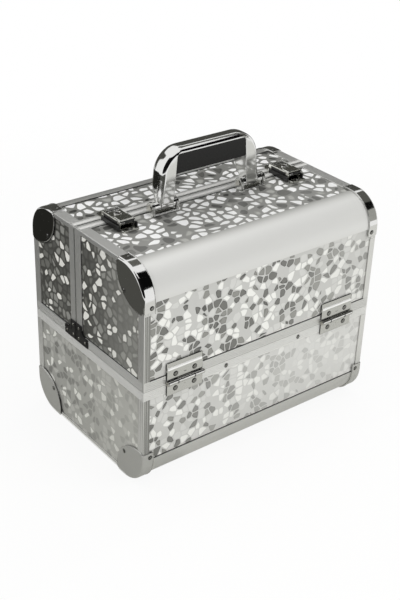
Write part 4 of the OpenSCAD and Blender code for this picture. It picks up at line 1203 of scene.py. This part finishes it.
def cap_lip(x, y_side, z_middle, z_side, start, tabs):
    """Points along a lip: an arc from start degrees off the vertical to the front, with its tabs."""
    route = []
    if tabs:
        route.append((x, y_side * CAP_TAB, z_middle + z_side * CAP_R))
    for i in range(ARC_STEPS + 1):
        turn = math.radians(start + (90 - start) * i / ARC_STEPS)
        out, rise = CAP_R * math.sin(turn), CAP_R * math.cos(turn)
        route.append((x, y_side * (EDGE_IN + out), z_middle + z_side * rise))
    route.append((x, y_side * (EDGE_IN + CAP_R), z_middle - z_side * TAB_DROP))
    return route


def plate_edge(x, y_side, z_middle, z_side):
    """Points round the inner outline of a cap's end plate, a little more than a quarter of a circle."""
    route = []
    for i in range(ARC_STEPS + 1):
        turn = math.radians(PLATE_START + PLATE_TURN * i / ARC_STEPS)
        route.append((x, y_side * (PLATE_Y - PLATE_R * math.cos(turn)),
                      z_middle - z_side * PLATE_R * math.sin(turn)))
    return route


for body, name, y_sides, lip_z, plate_z, z_side, start in (
        (BASE, "base", SIDES, BASE_BOARD, BASE_PLATE_Z, -1, BASE_START),
        (FRONT, "front_lid", (-1,), ROUND_LOW, LID_PLATE_Z, 1, 0),
        (REAR, "rear_lid", (1,), ROUND_LOW, LID_PLATE_Z, 1, 0)):
    corners = [(x, y) for y in y_sides for x in SIDES]
    lines(name + "_cap_lips", body, LIP_R, chrome,
          [cap_lip(x * CAP_IN, y, lip_z, z_side, start, body != BASE) for x, y in corners])
    # Dark lines round the end plates are painted shadow.
    lines(name + "_cap_plate_shadows", body, LIP_R, shadow_gap,
          [plate_edge(x * PLATE_X, y, plate_z, z_side) for x, y in corners])

# %% [markdown]
# ## Hinge trim
# The hinges are pressed from strip: a round moulding runs along the bend of the upper leaf, whitened as a
# painted highlight, and bright lines on the knuckles are painted highlights. A dark line in each leaf is
# painted shade in a punched slot, and dark lines of painted shadow lie where the leaves leave the knuckle,
# where knuckles meet, and along the leaves' sides and tops.

# %% Hinge trim
HINGE_X = 115.0
LEAF_HALF = 24.5
PIN_Y = 115.5
PIN_Z = 134.5
KNUCKLE_R = 2.8
SHINE = math.radians(20)
KNUCKLE_HIGHLIGHT_Y = PIN_Y + (KNUCKLE_R - SUNK) * math.cos(SHINE)
KNUCKLE_HIGHLIGHT_Z = PIN_Z + (KNUCKLE_R - SUNK) * math.sin(SHINE)
KNUCKLE_JOINT = 11.5
LEAF_Y = 114.1
LEAF_TOP_Y = 112.9
MOULDING_Z = 151.0
MOULDING_R = 2.1
MARK_R = 0.5
LOWER_MARK_R = 0.45
RING_STEPS = 14
RING_TURN = 10
LID_KNUCKLE = 10.8
BASE_KNUCKLE = 12.3
BASE_KNUCKLE_END = 24.0
UPPER_SLOT = 143.0
LOWER_SLOT = 127.0
UPPER_SLOT_HALF = 1.8
LOWER_SLOT_HALF = 0.8
UPPER_FOOT = 138.2
LOWER_HEAD = 130.8
LEAF_HEAD = 159.0
UPPER_SIDE = (138, 148)
LOWER_SIDE = (118, 131)


def on_hinges(y_side, from_x, to_x, y, z_from, z_to):
    """The same line on both hinges of one long side."""
    return [[(x * HINGE_X + from_x, y_side * y, z_from), (x * HINGE_X + to_x, y_side * y, z_to)]
            for x in SIDES]


def knuckle_rings(y_side):
    """Rings of painted shadow in the joints between the knuckles of both hinges, clear of the lid when it
    opens.
    """
    rings = []
    for x in SIDES:
        for joint in SIDES:
            ring = []
            for i in range(RING_STEPS):
                turn = math.radians(RING_TURN * i - 90)
                out, rise = KNUCKLE_R * math.cos(turn), KNUCKLE_R * math.sin(turn)
                ring.append((x * HINGE_X + joint * KNUCKLE_JOINT, y_side * (PIN_Y + out), PIN_Z + rise))
            rings.append(ring)
    return rings


for y_side, lid, name in ((-1, FRONT, "front"), (1, REAR, "rear")):
    # The moulding is whitened as a painted highlight, and bright lines on the knuckles are painted
    # highlights.
    moulding = on_hinges(y_side, -LEAF_HALF + 1.2, LEAF_HALF - 1.2, LEAF_TOP_Y - 0.7, MOULDING_Z, MOULDING_Z)
    lines(name + "_hinge_mouldings", lid, MOULDING_R, highlight_chrome, moulding)
    lines(name + "_hinge_lid_knuckle_highlights", lid, MARK_R, highlight_chrome,
          on_hinges(y_side, -LID_KNUCKLE, LID_KNUCKLE, KNUCKLE_HIGHLIGHT_Y, KNUCKLE_HIGHLIGHT_Z, KNUCKLE_HIGHLIGHT_Z))
    base_knuckle_highlights = []
    for x_from, x_to in ((-BASE_KNUCKLE_END, -BASE_KNUCKLE), (BASE_KNUCKLE, BASE_KNUCKLE_END)):
        base_knuckle_highlights += on_hinges(y_side, x_from, x_to, KNUCKLE_HIGHLIGHT_Y, KNUCKLE_HIGHLIGHT_Z, KNUCKLE_HIGHLIGHT_Z)
    lines(name + "_hinge_base_knuckle_highlights", BASE, MARK_R, highlight_chrome, base_knuckle_highlights)
    # Dark lines paint the shadow in the slots, along the leaves' edges and tops, and at the knuckles.
    upper = on_hinges(y_side, -UPPER_SLOT_HALF, UPPER_SLOT_HALF, LEAF_Y - 0.4, UPPER_SLOT, UPPER_SLOT)
    upper += on_hinges(y_side, -LEAF_HALF + 0.5, LEAF_HALF - 0.5, LEAF_Y - 0.2, UPPER_FOOT, UPPER_FOOT)
    upper += on_hinges(y_side, -LEAF_HALF + 1.5, LEAF_HALF - 1.5, LEAF_TOP_Y - 0.4, LEAF_HEAD, LEAF_HEAD)
    lower = on_hinges(y_side, -LOWER_SLOT_HALF, LOWER_SLOT_HALF, LEAF_Y - 0.4, LOWER_SLOT, LOWER_SLOT)
    lower += knuckle_rings(y_side)
    lower += on_hinges(y_side, -LEAF_HALF + 0.5, LEAF_HALF - 0.5, LEAF_Y - 0.2, LOWER_HEAD, LOWER_HEAD)
    for edge in (-LEAF_HALF, LEAF_HALF):
        upper += on_hinges(y_side, edge, edge, LEAF_Y - 0.9, *UPPER_SIDE)
        upper += on_hinges(y_side, edge, edge, LEAF_TOP_Y - 0.5, MOULDING_Z, LEAF_HEAD - 0.5)
        lower += on_hinges(y_side, edge, edge, LEAF_Y - 0.9, *LOWER_SIDE)
    lines(name + "_hinge_upper_shadow_lines", lid, MARK_R, shadow_gap, upper)
    lines(name + "_hinge_lower_shadow_lines", BASE, LOWER_MARK_R, shadow_gap, lower)

# %% [markdown]
# ## Latch trim
# A latch lever has a raised pad on its front half, a bead round its top and a double bar at its rear,
# where the thumb lifts it, with a dark line of painted shade between the bars. Black plates on its sides and
# its nose are painted shade, and two bright ribs stand on the nose. Thin black skirts flank the lever on the
# lid as painted shade, and a ring and a black slot of painted shade make the lock's face. The pad, the
# black plates, the skirts and the slot are bevelled plates, and the rest are swept lines.

# %% Latch trim
LATCH_X = 123.0
LEVER_TOP = 288.1
LEVER_NOSE = -13.9
PAD_HALF = 9.0
PAD_Y = (-12.4, 0.6)
PAD_ROUND = 0.7
BEAD_HALF = 9.4
BEAD_R = 0.5
BAR_HALF = 7.6
SHADE_PLATE_X = 10.25
SHADE_PLATE_Y = (-8, 18.5)
SHADE_PLATE_Z = (281.4, 286.6)
SHADE_PLATE_ROUND = 0.3
NOSE_Z = (284.2, 287.2)
NOSE_RIBS = (-7.6, -5)
NOSE_RIB_Z = (285, 287)
SKIRT_IN = 10.95
SKIRT_OUT = 12.8
SKIRT_Y = (-15, 20.4)
SKIRT_Z = (277.4, 283.2)
SKIRT_ROUND = 0.6
BEAD_FRONT = -12.0
BEAD_REAR = 21.8
BARS_Y = (14.6, 18.4)
GROOVE_Y = 16.5
GROOVE_R = 0.7
LOCK_Y = 6.3
LOCK_TOP = 288.7
LOCK_R = 4.2
LOCK_LINE_R = 0.6
LOCK_STEPS = 24
SLOT_HALF_X = 0.8
SLOT_HALF_Y = 3.0
SLOT_ROUND = 0.1

for side, name in ((-1, "left"), (1, "right")):
    lever = body_of[name + "_latch_lever"]
    lock = body_of[name + "_lock_barrel"]
    x = side * LATCH_X
    plate(name + "_latch_pad", (x - PAD_HALF, PAD_Y[0], LEVER_TOP - 0.6),
          (x + PAD_HALF, PAD_Y[1], LEVER_TOP + 0.9), PAD_ROUND, smoked_chrome, lever)
    # Black plates on the lever's nose and sides, and black skirts beside it, are painted shade.
    plate(name + "_latch_nose_shade_plate", (x - PAD_HALF, LEVER_NOSE - 0.1, NOSE_Z[0]),
          (x + PAD_HALF, LEVER_NOSE + 0.6, NOSE_Z[1]), SHADE_PLATE_ROUND, enamel, lever)
    for out, where in ((-1, "outer"), (1, "inner")):
        wall = x + out * SHADE_PLATE_X
        plate(name + "_latch_" + where + "_shade_plate", (wall - 0.5, SHADE_PLATE_Y[0], SHADE_PLATE_Z[0]),
              (wall + 0.5, SHADE_PLATE_Y[1], SHADE_PLATE_Z[1]), SHADE_PLATE_ROUND, enamel, lever)
        x_from, x_to = sorted((x + out * SKIRT_IN, x + out * SKIRT_OUT))
        plate(name + "_latch_" + where + "_shade_skirt", (x_from, SKIRT_Y[0], SKIRT_Z[0]),
              (x_to, SKIRT_Y[1], SKIRT_Z[1]), SKIRT_ROUND, enamel, FRONT)
    rim = [(x - BEAD_HALF, BEAD_FRONT, LEVER_TOP), (x - BEAD_HALF, BEAD_REAR, LEVER_TOP),
           (x + BEAD_HALF, BEAD_REAR, LEVER_TOP), (x + BEAD_HALF, BEAD_FRONT, LEVER_TOP)]
    bars = [[(x - BAR_HALF, y, LEVER_TOP), (x + BAR_HALF, y, LEVER_TOP)] for y in BARS_Y]
    nose = LEVER_NOSE + 0.1
    ribs = [[(x + across, nose, z) for z in NOSE_RIB_Z] for across in NOSE_RIBS]
    lines(name + "_latch_beads", lever, BEAD_R, chrome, [rim] + bars + ribs)
    # The dark line between the bars is painted shade.
    groove = [(x - BAR_HALF, GROOVE_Y, LEVER_TOP - 0.3), (x + BAR_HALF, GROOVE_Y, LEVER_TOP - 0.3)]
    lines(name + "_latch_groove_shade", lever, GROOVE_R, shadow_gap, [groove])
    turns = [2 * math.pi * i / LOCK_STEPS for i in range(LOCK_STEPS + 1)]
    ring = [(x + LOCK_R * math.cos(turn), LOCK_Y + LOCK_R * math.sin(turn), LOCK_TOP) for turn in turns]
    lines(name + "_lock_ring", lock, LOCK_LINE_R, chrome, [ring])
    # A black plate in the lock is painted shade in its keyhole slot.
    plate(name + "_lock_slot_shade", (x - SLOT_HALF_X, LOCK_Y - SLOT_HALF_Y, LOCK_TOP - 0.6),
          (x + SLOT_HALF_X, LOCK_Y + SLOT_HALF_Y, LOCK_TOP + 0.1), SLOT_ROUND, shadow_gap, lock)

# %% [markdown]
# ## Grip and lips of the handle's brackets
# The grip is a moulded bar that fills the upper part of the handle's window, a bevelled plate a little
# deeper than its CAD node. The brackets are pressed, with a rolled lip along the foot and up the front of
# both ears.

# %% Grip and lips of the handle's brackets
YOKE_IN = 47.2
YOKE_OUT = 81.8
YOKE_Y = -5.0
EAR_IN = 0.8
FOOT_LIP = 278.4
EAR_LIP = (279, 288)
YOKE_LIP_R = 1.2
GRIP_DEEPER = 3.5
GRIP_ROUND = 1.0
lips = []
for side in SIDES:
    lips.append([(side * YOKE_IN, YOKE_Y, FOOT_LIP), (side * YOKE_OUT, YOKE_Y, FOOT_LIP)])
    for x in (YOKE_IN + EAR_IN, YOKE_OUT - EAR_IN):
        lips.append([(side * x, YOKE_Y + 0.4, z) for z in EAR_LIP])
lines("handle_bracket_lips", FRONT, YOKE_LIP_R, chrome, lips)
grip_low, grip_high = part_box("handle_grip")
plate("handle_grip_bar", grip_low / MM - Vector((0, 0, GRIP_DEEPER)), grip_high / MM, GRIP_ROUND,
      grip_plastic, body_of["handle_grip"], "handle_grip")

# %% [markdown]
# ## Split brackets
# The black brackets at the foot of the split are pressed, with a bead along their outline, a rounded web
# in the inner corner and small rivets.

# %% Split brackets
BRACKET_X = 171.2
BRACKET_BEAD_R = 0.4
FRONT_EDGE = 21.3
BRACKET_OUTLINE = [(1.6, 134.3), (22.4, 134.3), (22.4, 142.6), (9.9, 142.6), (9.9, 155.1), (1.6, 155.1),
                   (1.6, 134.3)]
BRACKET_RIVETS = ((19, 138.4), (5.8, 138.4), (5.8, 151.5))
RIVET_SIZES = {"Rivet Radius": 1.7 * MM, "Head Height": 0.6 * MM}
WEB = 6.5
WEB_RUN = 11.5
WEB_Z = 144.2
WEB_X = 168.9
WEB_THICK = 2.2
WEB_STEPS = 8


def bracket_web(name, edge, way, body):
    """Webs with a hollow round in the inner corner of the brackets on both ends."""
    shape = bmesh.new()
    outline = [(WEB_RUN, WEB_Z)]
    for i in range(WEB_STEPS + 1):
        turn = i / WEB_STEPS * math.pi / 2
        outline.append((WEB_RUN + WEB * (1 - math.sin(turn)), WEB_Z + WEB * (1 - math.cos(turn))))
    for side in SIDES:
        verts = [shape.verts.new(Vector((side * WEB_X, edge + way * run, z)) * MM) for run, z in outline]
        lifted = bmesh.ops.extrude_face_region(shape, geom=[shape.faces.new(verts)])["geom"]
        moved = [item for item in lifted if isinstance(item, bmesh.types.BMVert)]
        bmesh.ops.translate(shape, verts=moved, vec=(side * WEB_THICK * MM, 0, 0))
    bmesh.ops.recalc_face_normals(shape, faces=shape.faces)
    carry(new_piece(name, to_mesh(shape, name), enamel), body)


for edge, way, lid, name in ((FRONT_EDGE, -1, FRONT, "front_lid"), (REAR_SPLIT, 1, REAR, "rear_lid")):
    beads = [[(side * BRACKET_X, edge + way * run, z) for run, z in BRACKET_OUTLINE] for side in SIDES]
    lines(name + "_bracket_beads", lid, BRACKET_BEAD_R, enamel, beads)
    bracket_web(name + "_bracket_webs", edge, way, lid)
    spots = [(Vector((side * BRACKET_X, edge + way * run, z)) * MM, (side, 0, 0), False)
             for side in SIDES for run, z in BRACKET_RIVETS]
    piece = new_piece(name + "_bracket_rivets", points_mesh(name + "_bracket_rivets", spots))
    run_tree(piece, heads, {**HEAD_SIZES, **RIVET_SIZES, "Head Finish": nickel, "Shade Finish": shadow_gap})
    carry(piece, lid)
    print(name, "bracket rivets:", len(spots))
